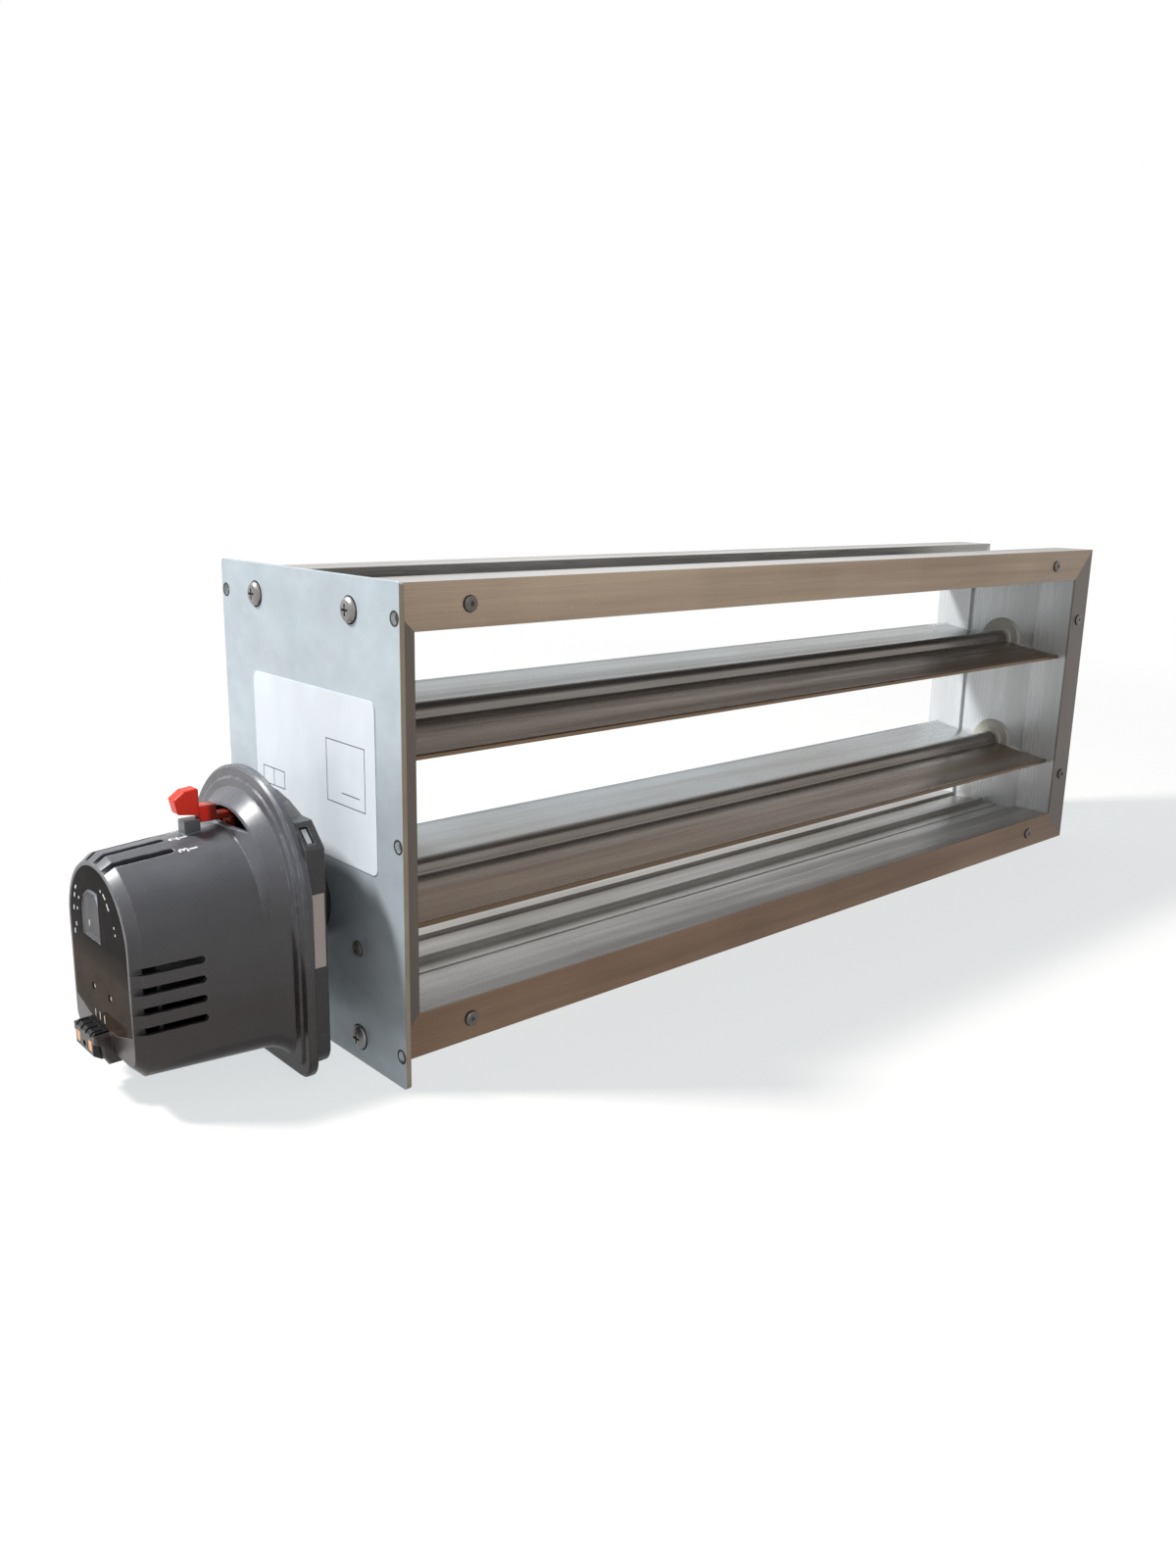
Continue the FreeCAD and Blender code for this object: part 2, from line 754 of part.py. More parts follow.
def bearing(label, at, angle):
    # A flanged nylon bush; local X points out of the web into the duct.
    flange, sleeve, bore = d.bearing_flange, d.bearing_sleeve_radius, d.shaft_radius + d.running_fit
    tail = -d.web_gauge - d.bearing_tail
    rim = d.bearing_flange_radius
    body = revolved([
        (tail, bore), (flange + d.bearing_hub, bore), (flange + d.bearing_hub, d.bearing_hub_radius),
        (flange, d.bearing_hub_radius + 1), (flange, rim - 0.8), (flange - 0.8, rim), (0, rim),
        (0, sleeve), (tail, sleeve)])
    node(body, label, at, (0, 0, 1), angle)


def bearings():
    for side, x, angle in (("left", web_face, 0), ("right", d.frame_width - web_face, 2 * RIGHT_ANGLE)):
        bearing("lower_%s_bearing" % side, (x, axis_y, low_axis), angle)
        bearing("upper_%s_bearing" % side, (x, axis_y, high_axis), angle)


def blade(label, height):
    # A thin extruded blade with the axle tube standing proud of its upper face.
    body = new_body(label + "_section")
    half = d.blade_chord / 2
    top = -d.tube_rise + d.blade_gauge / 2
    bottom = -d.tube_rise - d.blade_gauge / 2
    lip = d.blade_gauge * 0.6
    sheet_outline = sketch_on(body, "YZ_Plane")
    draw_polygon(sheet_outline, [
        (-half, bottom), (half, bottom), (half, top), (half - lip, top + lip / 2), (half - 3 * lip, top),
        (-half + 3 * lip, top), (-half + lip, top + lip / 2), (-half, top)])
    pad(body, sheet_outline, blade_length)
    tube = sketch_on(body, "YZ_Plane")
    draw_circle(tube, 0, 0, d.tube_radius)
    pad(body, tube, blade_length)
    fillet_places = (top, bottom)

    def at_tube(edge):
        spot = edge.valueAt(edge.FirstParameter)
        near = abs(spot.y) < number_of(d.tube_radius) + 0.01
        level = min(abs(spot.z - number_of(value)) for value in fillet_places)
        return runs_along(edge, "x") and near and level < 0.01

    round_edges(body, d.blade_gauge, at_tube)
    bore = sketch_on(body, "YZ_Plane")
    draw_circle(bore, 0, 0, d.shaft_radius + d.press_fit)
    pocket(body, bore, blade_length + 1, True)
    node(body, label, (blade_start, axis_y, height), (1, 0, 0), d.blade_tilt_angle)


def axles():
    seat_end = blade_start + d.shaft_seat
    inner_end = ring_front + d.link_gap
    node(rod(d.shaft_radius, seat_end + inner_end, (0, 0, 0)), "lower_drive_shaft",
         (-inner_end, axis_y, low_axis), (0, 1, 0), RIGHT_ANGLE)
    start = crank_front - 1
    node(rod(d.shaft_radius, seat_end - start, (0, 0, 0)), "upper_drive_shaft",
         (start, axis_y, high_axis), (0, 1, 0), RIGHT_ANGLE)
    far = d.frame_width - blade_start - d.shaft_seat
    length = blade_start + d.shaft_seat - web_back + d.bearing_tail + 3
    for label, z in (("lower_end_pin", low_axis), ("upper_end_pin", high_axis)):
        node(rod(d.shaft_radius, length, (0, 0, 0)), label, (far, axis_y, z), (0, 1, 0), RIGHT_ANGLE)


def crank(label, height):
    # The arm lies along local Y, with its flat back near the web.
    body = new_body(label + "_arm")
    back = d.crank_hub
    hub = sketch_on(body, "YZ_Plane")
    draw_circle(hub, 0, 0, d.crank_hub_radius)
    pad(body, hub, back)
    arm = sketch_on(body, "YZ_Plane", back - d.crank_gauge)
    half = d.crank_eye_radius
    draw_rectangle(arm, 0, -half, d.crank_radius, 2 * half)
    pad(body, arm, d.crank_gauge)
    eye = sketch_on(body, "YZ_Plane", back - d.crank_gauge)
    draw_circle(eye, d.crank_radius, 0, half)
    pad(body, eye, d.crank_gauge)
    tools = [rod(d.shaft_radius + d.press_fit, back + 2, (-1, 0, 0)),
             rod(d.link_pin_radius + d.press_fit, back + 2, (-1, d.crank_radius, 0)),
             rod(d.grub_radius + d.press_fit, d.crank_hub_radius + 1, (back / 2, -d.crank_hub_radius - 1, 0),
                 "y")]
    node(cut(body, tools), label, (crank_front, axis_y, height), (1, 0, 0), d.crank_rest_angle)


def crank_screw(label, height):
    start = -d.shaft_radius - d.press_fit - d.grub_length
    body = rod(d.grub_radius, d.grub_length, (0, start, 0), "y")
    slot = box(1, 0.6, 2 * d.grub_radius + 1, (-0.5, start - 0.1, -d.grub_radius - 0.5))
    node(cut(body, [slot]), label, (crank_front + d.crank_hub / 2, axis_y, height), (1, 0, 0),
         d.crank_rest_angle)


def link_pin(label, height):
    head, radius = d.link_pin_head_height, d.link_pin_radius
    back = crank_front + d.crank_hub - pin_head_front
    body = revolved([(0, 0), (back, 0), (back, radius), (head, radius), (head, d.link_pin_head),
                     (head / 2, d.link_pin_head), (0, d.link_pin_head * 0.8)])
    shifted = place(body, (0, d.crank_radius, 0))
    node(group("Part::Compound", [shifted]), label, (pin_head_front, axis_y, height), (1, 0, 0),
         d.crank_rest_angle)


def link_bar():
    # Joins the two crank pins, so both blades keep the same angle.
    angle = math.radians(number_of(d.crank_rest_angle))
    across = axis_y + d.crank_radius * math.cos(angle)
    up = low_axis + d.crank_radius * math.sin(angle)
    body = new_body("link_strip")
    sketch = sketch_on(body, "YZ_Plane")
    half = d.link_half_width
    draw_rectangle(sketch, -half, 0, 2 * half, d.blade_pitch)
    pad(body, sketch, d.link_gauge)
    for z in (0, d.blade_pitch):
        eye = sketch_on(body, "YZ_Plane")
        draw_circle(eye, 0, z, half + 0.6)
        pad(body, eye, d.link_gauge)
    tools = [rod(d.link_pin_radius + d.running_fit, d.link_gauge + 2, (-1, 0, 0)),
             rod(d.link_pin_radius + d.open_pivot_fit, d.link_gauge + 2, (-1, 0, d.blade_pitch))]
    node(cut(body, tools), "link_bar", (link_front, across, up))


def mount_collar():
    # Fixed spacer that carries the actuator off the plate, round the drive shaft.
    length, radius = d.collar_length, d.collar_radius
    bore = d.shaft_radius + 1
    body = revolved([(0, bore), (length, bore), (length, radius - 1), (length - 1, radius),
                     (1, radius), (0, radius - 1)])
    body = place(body, (0, 0, 0))
    tools = []
    for y, z in circle_spots(3, d.collar_screw_circle, RIGHT_ANGLE):
        hole = d.collar_screw_radius + d.fastener_fit
        tools.append(rod(hole, d.collar_screw_length, (-1, y - axis_y, z - low_axis)))
    for y, z in circle_spots(3, d.collar_screw_circle, -RIGHT_ANGLE):
        hole = d.collar_screw_radius + d.fastener_fit
        spot = (length - d.base_screw_length + 1, y - axis_y, z - low_axis)
        tools.append(rod(hole, d.base_screw_length, spot))
    node(cut(body, tools), "actuator_collar", (-d.plate_gauge, axis_y, low_axis), (0, 0, 1), 2 * RIGHT_ANGLE)


def collar_screws():
    items = []
    for y, z in circle_spots(3, d.collar_screw_circle, RIGHT_ANGLE):
        item = cross_screw(d.collar_screw_head, d.collar_screw_head_height, d.collar_screw_radius,
                           d.collar_screw_length)
        items.append(place(item, (0, y, z), (0, 0, 1), 2 * RIGHT_ANGLE))
    node(group("Part::Compound", items), "collar_screws")
    items = []
    for y, z in circle_spots(3, d.collar_screw_circle, -RIGHT_ANGLE):
        item = cross_screw(d.collar_screw_head, d.collar_screw_head_height, d.collar_screw_radius,
                           d.base_screw_length)
        items.append(place(item, (-base_back - d.base_wall, y, z)))
    node(group("Part::Compound", items), "base_screws")


def base_outline(sketch, inset):
    half = d.base_half_width - inset
    top = low_axis + d.base_top - inset
    low = low_axis - d.base_bottom + inset
    chamfer = d.base_chamfer - 0.6 * inset
    radius = d.base_arch_radius - inset
    centre = low_axis + d.base_arch_top - d.base_arch_radius
    steps = 6
    arch = []
    for index in range(steps + 1):
        turn = math.radians(DIMENSIONS["base_arch_angle"] * (1 - 2 * index / steps))
        arch.append((axis_y + radius * math.sin(turn), centre + radius * math.cos(turn)))
    draw_polygon(sketch, [
        (axis_y - half, low), (axis_y + half, low), (axis_y + half, top - chamfer),
        (axis_y + half - chamfer, top), *arch, (axis_y - half + chamfer, top),
        (axis_y - half, top - chamfer)])


def actuator_base():
    body = new_body("base_tray")
    outer = sketch_on(body, "YZ_Plane")
    base_outline(outer, Size(0, "0 * dims.base_wall"))
    pad(body, outer, d.base_depth, True)

    def low_corner(edge):
        spot = edge.valueAt(edge.FirstParameter)
        return runs_along(edge, "x") and spot.z < number_of(low_axis - d.base_bottom) + 0.01

    round_edges(body, d.base_corner, low_corner)
    hollow = sketch_on(body, "YZ_Plane", -d.base_depth)
    base_outline(hollow, d.base_wall)
    pocket(body, hollow, d.base_depth - d.base_wall, True)
    bosses = []
    tools = [rod(d.shaft_radius + 1, d.base_depth + 2, (-d.base_depth - 1, axis_y, low_axis))]
    for y, z in cover_screw_spots():
        bosses.append(rod(d.cover_boss_radius, d.base_depth, (-d.base_depth, y, z)))
        tools.append(rod(d.cover_screw_radius + d.fastener_fit, d.base_depth + 2, (-d.base_depth - 1, y, z)))
        tools.append(rod(d.cover_screw_head + 0.3, d.base_wall + 1, (-d.base_wall, y, z)))
    for y, z in circle_spots(3, d.collar_screw_circle, -RIGHT_ANGLE):
        tools.append(rod(d.collar_screw_radius + d.fastener_fit, d.base_wall + 2, (-d.base_wall - 1, y, z)))
    middle = d.base_half_width - d.base_chamfer / 2
    height = low_axis + d.base_top - d.base_chamfer / 2
    for side in (-1, 1):
        spot = (-d.base_depth + 1.4, axis_y + side * middle, height)
        tools.append(window_tool(spot, side))
    node(cut(fuse([body] + bosses), tools), "actuator_base", (-base_back, 0, 0))


def window_tool(spot, side):
    # A block turned to lie square to the chamfered shoulder.
    x, y, z = spot
    width, deep = d.hook_window_width, d.base_wall * 4
    item = box(d.hook_window_depth, width, deep, (-d.hook_window_depth / 2, -width / 2, -deep / 2))
    turned = group("Part::Compound", [item])
    return place(turned, (x + d.hook_window_depth / 2, y, z), (1, 0, 0), -side * RIGHT_ANGLE / 2)


def sticker():
    body = box(d.base_depth - 2 * d.sticker_margin, d.sticker_gauge, d.sticker_height, (0, 0, 0))
    side = axis_y - d.base_half_width - d.sticker_gauge
    node(body, "base_sticker", (-base_front + d.sticker_margin, side, low_axis - d.sticker_drop))


def arch_wire(x, centre_z, radius, bottom, corner):
    # The arch outline as a wire in the plane across X, in bench numbers.
    cy = number_of(axis_y)
    diagonal = corner * (1 - math.sqrt(0.5))

    def point(y, z):
        return FreeCAD.Vector(x, y, z)

    left, right = cy - radius, cy + radius
    edges = [
        Part.Arc(point(right, centre_z), point(cy, centre_z + radius), point(left, centre_z)).toShape(),
        Part.LineSegment(point(left, centre_z), point(left, bottom + corner)).toShape(),
        Part.Arc(point(left, bottom + corner), point(left + diagonal, bottom + diagonal),
                 point(left + corner, bottom)).toShape(),
        Part.LineSegment(point(left + corner, bottom), point(right - corner, bottom)).toShape(),
        Part.Arc(point(right - corner, bottom), point(right - diagonal, bottom + diagonal),
                 point(right, bottom + corner)).toShape(),
        Part.LineSegment(point(right, bottom + corner), point(right, centre_z)).toShape()]
    return Part.Wire(edges)


def loft(wires):
    return Part.makeLoft(wires, True, True)


def side_prism(points, y_from, y_to):
    # A solid across Y from an outline of (x, z) points.
    wire = Part.makePolygon([FreeCAD.Vector(x, y_from, z) for x, z in points + points[:1]])
    return Part.Face(wire).extrude(FreeCAD.Vector(0, y_to - y_from, 0))


def block(x, y, z):
    # A box shape from three (low, high) pairs.
    size = [high - low for low, high in (x, y, z)]
    return Part.makeBox(*size, FreeCAD.Vector(x[0], y[0], z[0]))


def slot_tool(x_from, x_to, width, reach_low, reach_high, angle):
    # A round-ended slot along X, cut inwards along the direction at the angle from straight up.
    cy, cz = number_of(axis_y), number_of(drum_axis)
    bar = block((x_from, x_to - width / 2), (-width / 2, width / 2), (reach_low, reach_high))
    end = Part.makeCylinder(width / 2, reach_high - reach_low, FreeCAD.Vector(x_to - width / 2, 0, reach_low))
    shape = bar.fuse(end)
    shape.rotate(FreeCAD.Vector(0, 0, 0), FreeCAD.Vector(1, 0, 0), angle)
    shape.translate(FreeCAD.Vector(0, cy, cz))
    return shape


def drum_radius_at(reach):
    # The drum narrows evenly from the flange to the start of the bevel.
    rear, front = number_of(d.drum_rear_radius), number_of(d.drum_front_radius)
    start, stop = number_of(flange_front), number_of(bevel_start)
    return rear + (front - rear) * (reach - start) / (stop - start)


def hollow_curve(steps):
    # Steps of a quarter ellipse as (share of the way forward, share of the way inward).
    turns = [math.radians(RIGHT_ANGLE) * index / steps for index in range(steps + 1)]
    return [(1 - math.cos(turn), math.sin(turn)) for turn in turns]


def round_wire(x, centre_z, radius):
    circle = Part.Circle(FreeCAD.Vector(x, number_of(axis_y), centre_z), FreeCAD.Vector(1, 0, 0), radius)
    return Part.Wire([circle.toShape()])


def cover_flange():
    # The flange and the low disc on it, the sloping collar with its dished front, and the drum's flared root.
    axis, arch_axis, cy = number_of(low_axis), number_of(flange_axis), number_of(axis_y)
    rear, front = number_of(base_front), number_of(flange_front)
    half, corner = number_of(d.flange_half_width), number_of(d.flange_corner)
    low = axis - number_of(d.flange_bottom)
    flange = loft([arch_wire(-rear, arch_axis, half, low, corner),
                   arch_wire(-front + 1, arch_axis, half, low, corner),
                   arch_wire(-front, arch_axis, half - 1, low + 1, corner - 1)])
    wide, step = number_of(d.disc_radius), number_of(d.disc_step)
    inset = half - wide
    disc = loft([arch_wire(-front + step, arch_axis, wide, low + inset, corner - inset),
                 arch_wire(-front - step, arch_axis, wide - step, low + inset + step, corner - inset - step)])
    foot = number_of(d.collar_foot_radius)
    rim, rim_reach = number_of(d.collar_rim_radius), number_of(d.collar_rim_reach)
    profile = [(-front, 0), (-front, foot + step), (-front - step, foot + step), (-front - 2 * step, foot),
               (-rim_reach, rim), (-rim_reach, 0)]
    corners = [FreeCAD.Vector(x, cy, arch_axis + radius) for x, radius in profile + profile[:1]]
    collar = Part.Face(Part.makePolygon(corners))
    collar = collar.revolve(FreeCAD.Vector(0, cy, arch_axis), FreeCAD.Vector(1, 0, 0), FULL_TURN)
    reach, mouth = number_of(d.dish_reach), rim - SHY
    dish = loft([round_wire(-rim_reach + step, arch_axis, mouth), round_wire(-rim_reach, arch_axis, mouth)])
    dish = dish.fuse(loft([round_wire(-rim_reach, arch_axis, mouth),
                           round_wire(-reach, number_of(drum_axis), drum_radius_at(reach) - SHY)]))
    root_low, drum_low = axis - number_of(d.collar_low_rear), axis - number_of(d.drum_bottom) - 1.5
    flare = number_of(d.root_half_width) - drum_radius_at(front)
    corner = number_of(d.drum_corner)
    sections = [arch_wire(-front + 1, number_of(drum_axis), drum_radius_at(front) + flare, root_low, corner)]
    for forward, inward in hollow_curve(6):
        spot = front + (reach - front) * forward
        radius = drum_radius_at(spot) + flare * (1 - inward)
        bottom = root_low + (drum_low - root_low) * inward
        sections.append(arch_wire(-spot - SHY / 5, number_of(drum_axis), radius, bottom, corner))
    return flange.fuse([disc, collar, dish, loft(sections)])


def cover_drum():
    # The drum in front of the ring, its bevel and the two cheeks beside the terminal block.
    axis, centre = number_of(low_axis), number_of(drum_axis)
    bottom, corner = axis - number_of(d.drum_bottom), number_of(d.drum_corner)
    start = number_of(d.dish_reach) - number_of(d.drum_overlap)
    bevel, face = number_of(bevel_start), number_of(d.face_reach)
    drum = loft([arch_wire(-start, centre, drum_radius_at(start), bottom - 1.5, corner),
                 arch_wire(-bevel, centre, drum_radius_at(bevel), bottom, corner)])
    tip = loft([arch_wire(-bevel, centre, drum_radius_at(bevel), bottom, corner),
                arch_wire(-face, centre, number_of(d.face_radius), axis - number_of(d.face_bottom),
                          corner - 2)])
    return drum.fuse([tip] + cheeks())


def cheeks():
    # Each cheek is a shaped wall beside the terminal block, with a bevelled outer edge.
    axis, centre = number_of(low_axis), number_of(terminal_y)
    face, reach = number_of(d.face_reach), number_of(nose_reach)
    top, low = axis - number_of(terminal_top) - 0.3, axis - number_of(d.cheek_bottom)
    inner = number_of(d.terminal_half_width)
    thick = number_of(d.cheek_gauge)
    back, drop = face - 5, top - low

    def outline(inset):
        return [(-back, top - inset), (-reach + inset, top - 0.6 - inset),
                (-reach + inset, top - 0.28 * drop), (-reach + 2.4 + inset, top - 0.36 * drop),
                (-reach + 3 + inset, top - 0.72 * drop), (-face - 1.4 + inset, low + inset),
                (-back, low + inset)]

    def wire(y, inset):
        points = [FreeCAD.Vector(x, y, z) for x, z in outline(inset)]
        return Part.makePolygon(points + points[:1])

    walls = []
    for side in (-1, 1):
        places = [centre + side * (inner + out) for out in (-1, thick, 2 * thick)]
        walls.append(loft([wire(places[0], 0), wire(places[1], 0)]))
        walls.append(loft([wire(places[1], 0), wire(places[2], thick / 2)]))
    return walls


def drum_hollow(rear, end):
    # The room inside the drum between two places along it.
    axis, centre = number_of(low_axis), number_of(drum_axis)
    wall = number_of(d.cover_wall)
    bottom, corner = axis - number_of(d.drum_bottom) + wall, number_of(d.drum_corner) - wall
    return loft([arch_wire(-rear, centre, drum_radius_at(rear) - wall, bottom - 1.5, corner),
                 arch_wire(-end, centre, drum_radius_at(end) - wall, bottom, corner)])


def cover_inside():
    wall = number_of(d.cover_wall)
    bevel = number_of(bevel_start)
    turn = bevel - wall / 2
    end = number_of(d.face_reach) - number_of(d.panel_gauge) - wall
    bottom, corner = number_of(low_axis) - number_of(d.drum_bottom) + wall, number_of(d.drum_corner) - wall
    centre = number_of(drum_axis)
    tip = loft([arch_wire(-turn, centre, drum_radius_at(turn) - wall, bottom, corner),
                arch_wire(-end, centre, number_of(d.face_radius) - wall, bottom + 3, corner)])
    return drum_hollow(number_of(base_front) - 1, turn).fuse(tip)


def collar_room():
    # The round room behind the collar and its dish, for the stop lever's arm.
    rear, stop = number_of(base_front) - 1, number_of(d.collar_rim_reach) - 1
    reach = number_of(d.dish_reach) - number_of(d.dish_gauge)
    radius = number_of(d.collar_rim_radius) - number_of(d.collar_lip)
    centre, narrow = number_of(flange_axis), drum_radius_at(reach) - number_of(d.cover_wall) - SHY
    room = loft([round_wire(-rear, centre, radius), round_wire(-stop, centre, radius)])
    tip = loft([round_wire(-stop, centre, radius), round_wire(-reach, number_of(drum_axis), narrow)])
    return room.fuse(tip)


def crescent():
    # The opening above the drum that the stop lever comes through.
    stop, reach = number_of(d.collar_rim_reach) - 2, number_of(d.dish_reach) + 2
    radius = number_of(d.collar_rim_radius) - number_of(d.collar_lip)
    centre, cy = number_of(flange_axis), number_of(axis_y)
    whole = loft([round_wire(-stop, centre, radius), round_wire(-reach, centre, radius)])
    low = number_of(low_axis) + number_of(d.crescent_low)
    return whole.common(block((-reach, -stop), (cy - radius, cy + radius), (low, low + radius)))


def panel_corner_prisms(x_from, x_to, fit):
    # The panel's lower edge rises towards both sides; these wedges take the corners off.
    axis, cy = number_of(low_axis), number_of(axis_y)
    low, shoulder = axis - number_of(d.panel_bottom), axis - number_of(d.panel_shoulder)
    near, wide = number_of(d.panel_low_half), number_of(d.panel_radius) + 2
    prisms = []
    for side in (-1, 1):
        points = [(cy + side * near, low - 3), (cy + side * near, low + fit),
                  (cy + side * wide, shoulder + fit), (cy + side * wide, low - 3)]
        corners = [FreeCAD.Vector(x_from, y, z) for y, z in points + points[:1]]
        prisms.append(Part.Face(Part.makePolygon(corners)).extrude(FreeCAD.Vector(x_to - x_from, 0, 0)))
    return prisms


def cover_openings():
    axis, cy = number_of(low_axis), number_of(axis_y)
    face, reach = number_of(d.face_reach), number_of(nose_reach)
    tools = []
    panel = number_of(d.panel_gauge)
    panel_low = axis - number_of(d.panel_bottom)
    seat = loft([arch_wire(-face - 1, number_of(drum_axis), number_of(d.panel_radius), panel_low, 1),
                 arch_wire(-face + panel, number_of(drum_axis), number_of(d.panel_radius), panel_low, 1)])
    tools.append(seat.cut(Part.Compound(panel_corner_prisms(-face - 2, -face + panel + 1, 0))))
    # The indicator shows through this gap, and the lights through two small holes.
    right, width = cy - number_of(d.window_right), number_of(d.window_width)
    low, height = axis + number_of(d.window_bottom), number_of(d.window_height)
    across = (right - 1, right + width)
    tools.append(block((-face, -number_of(dial_reach) + 3), across, (low, low + height - 2)))
    for side in (-1, 1):
        across = cy + side * number_of(d.light_spacing) / 2
        spot = FreeCAD.Vector(-face, across, axis - number_of(d.light_drop))
        hole, deep = number_of(d.light_radius) + 0.2, 4 * number_of(d.cover_wall)
        tools.append(Part.makeCylinder(hole, deep, spot, FreeCAD.Vector(1, 0, 0)))
    # The terminal block's bay is open at the front and below.
    centre, half = number_of(terminal_y), number_of(d.terminal_half_width) + 0.2
    top, rear = axis - number_of(terminal_top) + 0.2, number_of(terminal_start) - 0.2
    tools.append(block((-reach - 1, -rear), (centre - half, centre + half), (-5, top)))
    # Vent slots: three over the top, four low on each side, all cut through the bevel.
    width, end = number_of(d.slot_width), number_of(d.slot_end)
    inner, outer = number_of(d.face_radius), number_of(d.drum_rear_radius) + 2
    for index in (-1, 0, 1):
        angle = number_of(d.top_slot_middle_angle) + index * number_of(d.top_slot_spacing_angle)
        tools.append(slot_tool(-face - 1, -end, width, inner, outer, angle))
    pitch = number_of(d.side_slot_spacing)
    for side in (-1, 1):
        for index in range(4):
            tool = slot_tool(-face - 1, -end, width, inner, outer, -side * RIGHT_ANGLE)
            tool.translate(FreeCAD.Vector(0, 0, -number_of(d.side_slot_drop) - index * pitch))
            tools.append(tool)
    for y, z in cover_screw_spots():
        hole = number_of(d.cover_screw_radius) + number_of(d.fastener_fit)
        depth = number_of(base_back) + number_of(d.base_wall) + number_of(d.cover_screw_length) + 0.5
        spot = FreeCAD.Vector(-depth, number_of(y), number_of(z))
        tools.append(Part.makeCylinder(hole, 8, spot, FreeCAD.Vector(1, 0, 0)))
    return tools


def cover_screw_spots():
    high = (d.cover_screw_high_side, d.cover_screw_high)
    low = (d.cover_screw_low_side, -d.cover_screw_low)
    return [(axis_y + side * across, low_axis + up) for side in (-1, 1) for across, up in (high, low)]


def actuator_cover():
    axis, cy = number_of(low_axis), number_of(axis_y)
    rear, half = number_of(d.lever_rear), number_of(d.lug_half_width)
    length, high = number_of(d.lug_length), number_of(d.lug_high)
    lug_low = number_of(d.drum_rise) + drum_radius_at(rear) - number_of(d.cover_wall) / 2
    lug = block((-rear - length, -rear), (cy - half, cy + half), (axis + lug_low, axis + high))
    hollow = cover_inside()
    shape = cover_flange().cut(collar_room()).cut(hollow)
    shape = shape.fuse(cover_drum().cut(hollow)).fuse(lug)
    for tool in cover_openings() + [crescent()]:
        shape = shape.cut(tool)
    item = doc.addObject("Part::Feature", "cover_shell")
    item.Shape = shape.removeSplitter()
    node(item, "actuator_cover")


def cover_screws():
    items = []
    for y, z in cover_screw_spots():
        item = cross_screw(d.cover_screw_head, d.collar_screw_head_height, d.cover_screw_radius,
                           d.cover_screw_length)
        items.append(place(item, (-base_back - d.base_wall, y, z), (0, 0, 1), 2 * RIGHT_ANGLE))
    node(group("Part::Compound", items), "cover_screws")


def arch_plate(name, radius, bottom, corner, gauge):
    body = new_body(name)
    sketch = sketch_on(body, "YZ_Plane")
    draw_arch(sketch, 0, 0, radius, -bottom, corner)
    pad(body, sketch, gauge)
    return body


def face_panel():
    axis, cy = number_of(low_axis), number_of(axis_y)
    face, fit = number_of(d.face_reach), number_of(d.panel_fit)
    gauge, centre = number_of(d.panel_gauge), number_of(drum_axis)
    radius, low = number_of(d.panel_radius) - fit, axis - number_of(d.panel_bottom) + fit
    sheet_shape = loft([arch_wire(-face, centre, radius, low, 1),
                        arch_wire(-face + gauge, centre, radius, low, 1)])
    sheet_shape = sheet_shape.cut(Part.Compound(panel_corner_prisms(-face - 1, -face + gauge + 1, fit)))
    for side in (-1, 1):
        across = cy + side * number_of(d.light_spacing) / 2
        spot = FreeCAD.Vector(-face - 1, across, axis - number_of(d.light_drop))
        hole = Part.makeCylinder(number_of(d.light_radius) + 0.15, gauge + 2, spot, FreeCAD.Vector(1, 0, 0))
        sheet_shape = sheet_shape.cut(hole)
    item = doc.addObject("Part::Feature", "panel_sheet")
    item.Shape = sheet_shape
    window = place(window_block(d.panel_gauge + 2, 0),
                   (-d.face_reach - 1, axis_y - d.window_right, low_axis + d.window_bottom))
    node(cut(item, [window]), "face_panel")


def window_block(gauge, shrink):
    # A rectangle with one large round corner, top left when seen from the front.
    body = new_body("window_pane")
    sketch = sketch_on(body, "YZ_Plane")
    draw_rectangle(sketch, shrink, shrink, d.window_width - 2 * shrink, d.window_height - 2 * shrink)
    pad(body, sketch, gauge)
    limit = number_of(d.window_width) / 2

    def far_corner(edge):
        spot = edge.valueAt(edge.FirstParameter)
        return runs_along(edge, "x") and spot.y > limit and spot.z > limit

    round_edges(body, d.window_corner, far_corner)
    return body


def indicator():
    pane = window_block(d.panel_gauge - 0.2, d.panel_fit)
    node(pane, "indicator_window", (-d.face_reach + 0.1, axis_y - d.window_right, low_axis + d.window_bottom))
    stem_start = ring_front + d.link_gap
    tip = dial_reach + d.dial_gauge
    stem = rod(d.stem_radius, tip - stem_start, (0, 0, 0))
    node(stem, "indicator_stem", (-tip, axis_y, low_axis), (0, 1, 0), RIGHT_ANGLE)
    dial = revolved([(0, d.stem_radius + d.press_fit), (d.dial_gauge + 2, d.stem_radius + d.press_fit),
                     (d.dial_gauge + 2, d.stem_radius + 1.5), (d.dial_gauge, d.stem_radius + 1.5),
                     (d.dial_gauge, d.dial_radius), (0, d.dial_radius)])
    node(dial, "indicator_dial", (-tip, axis_y, low_axis))


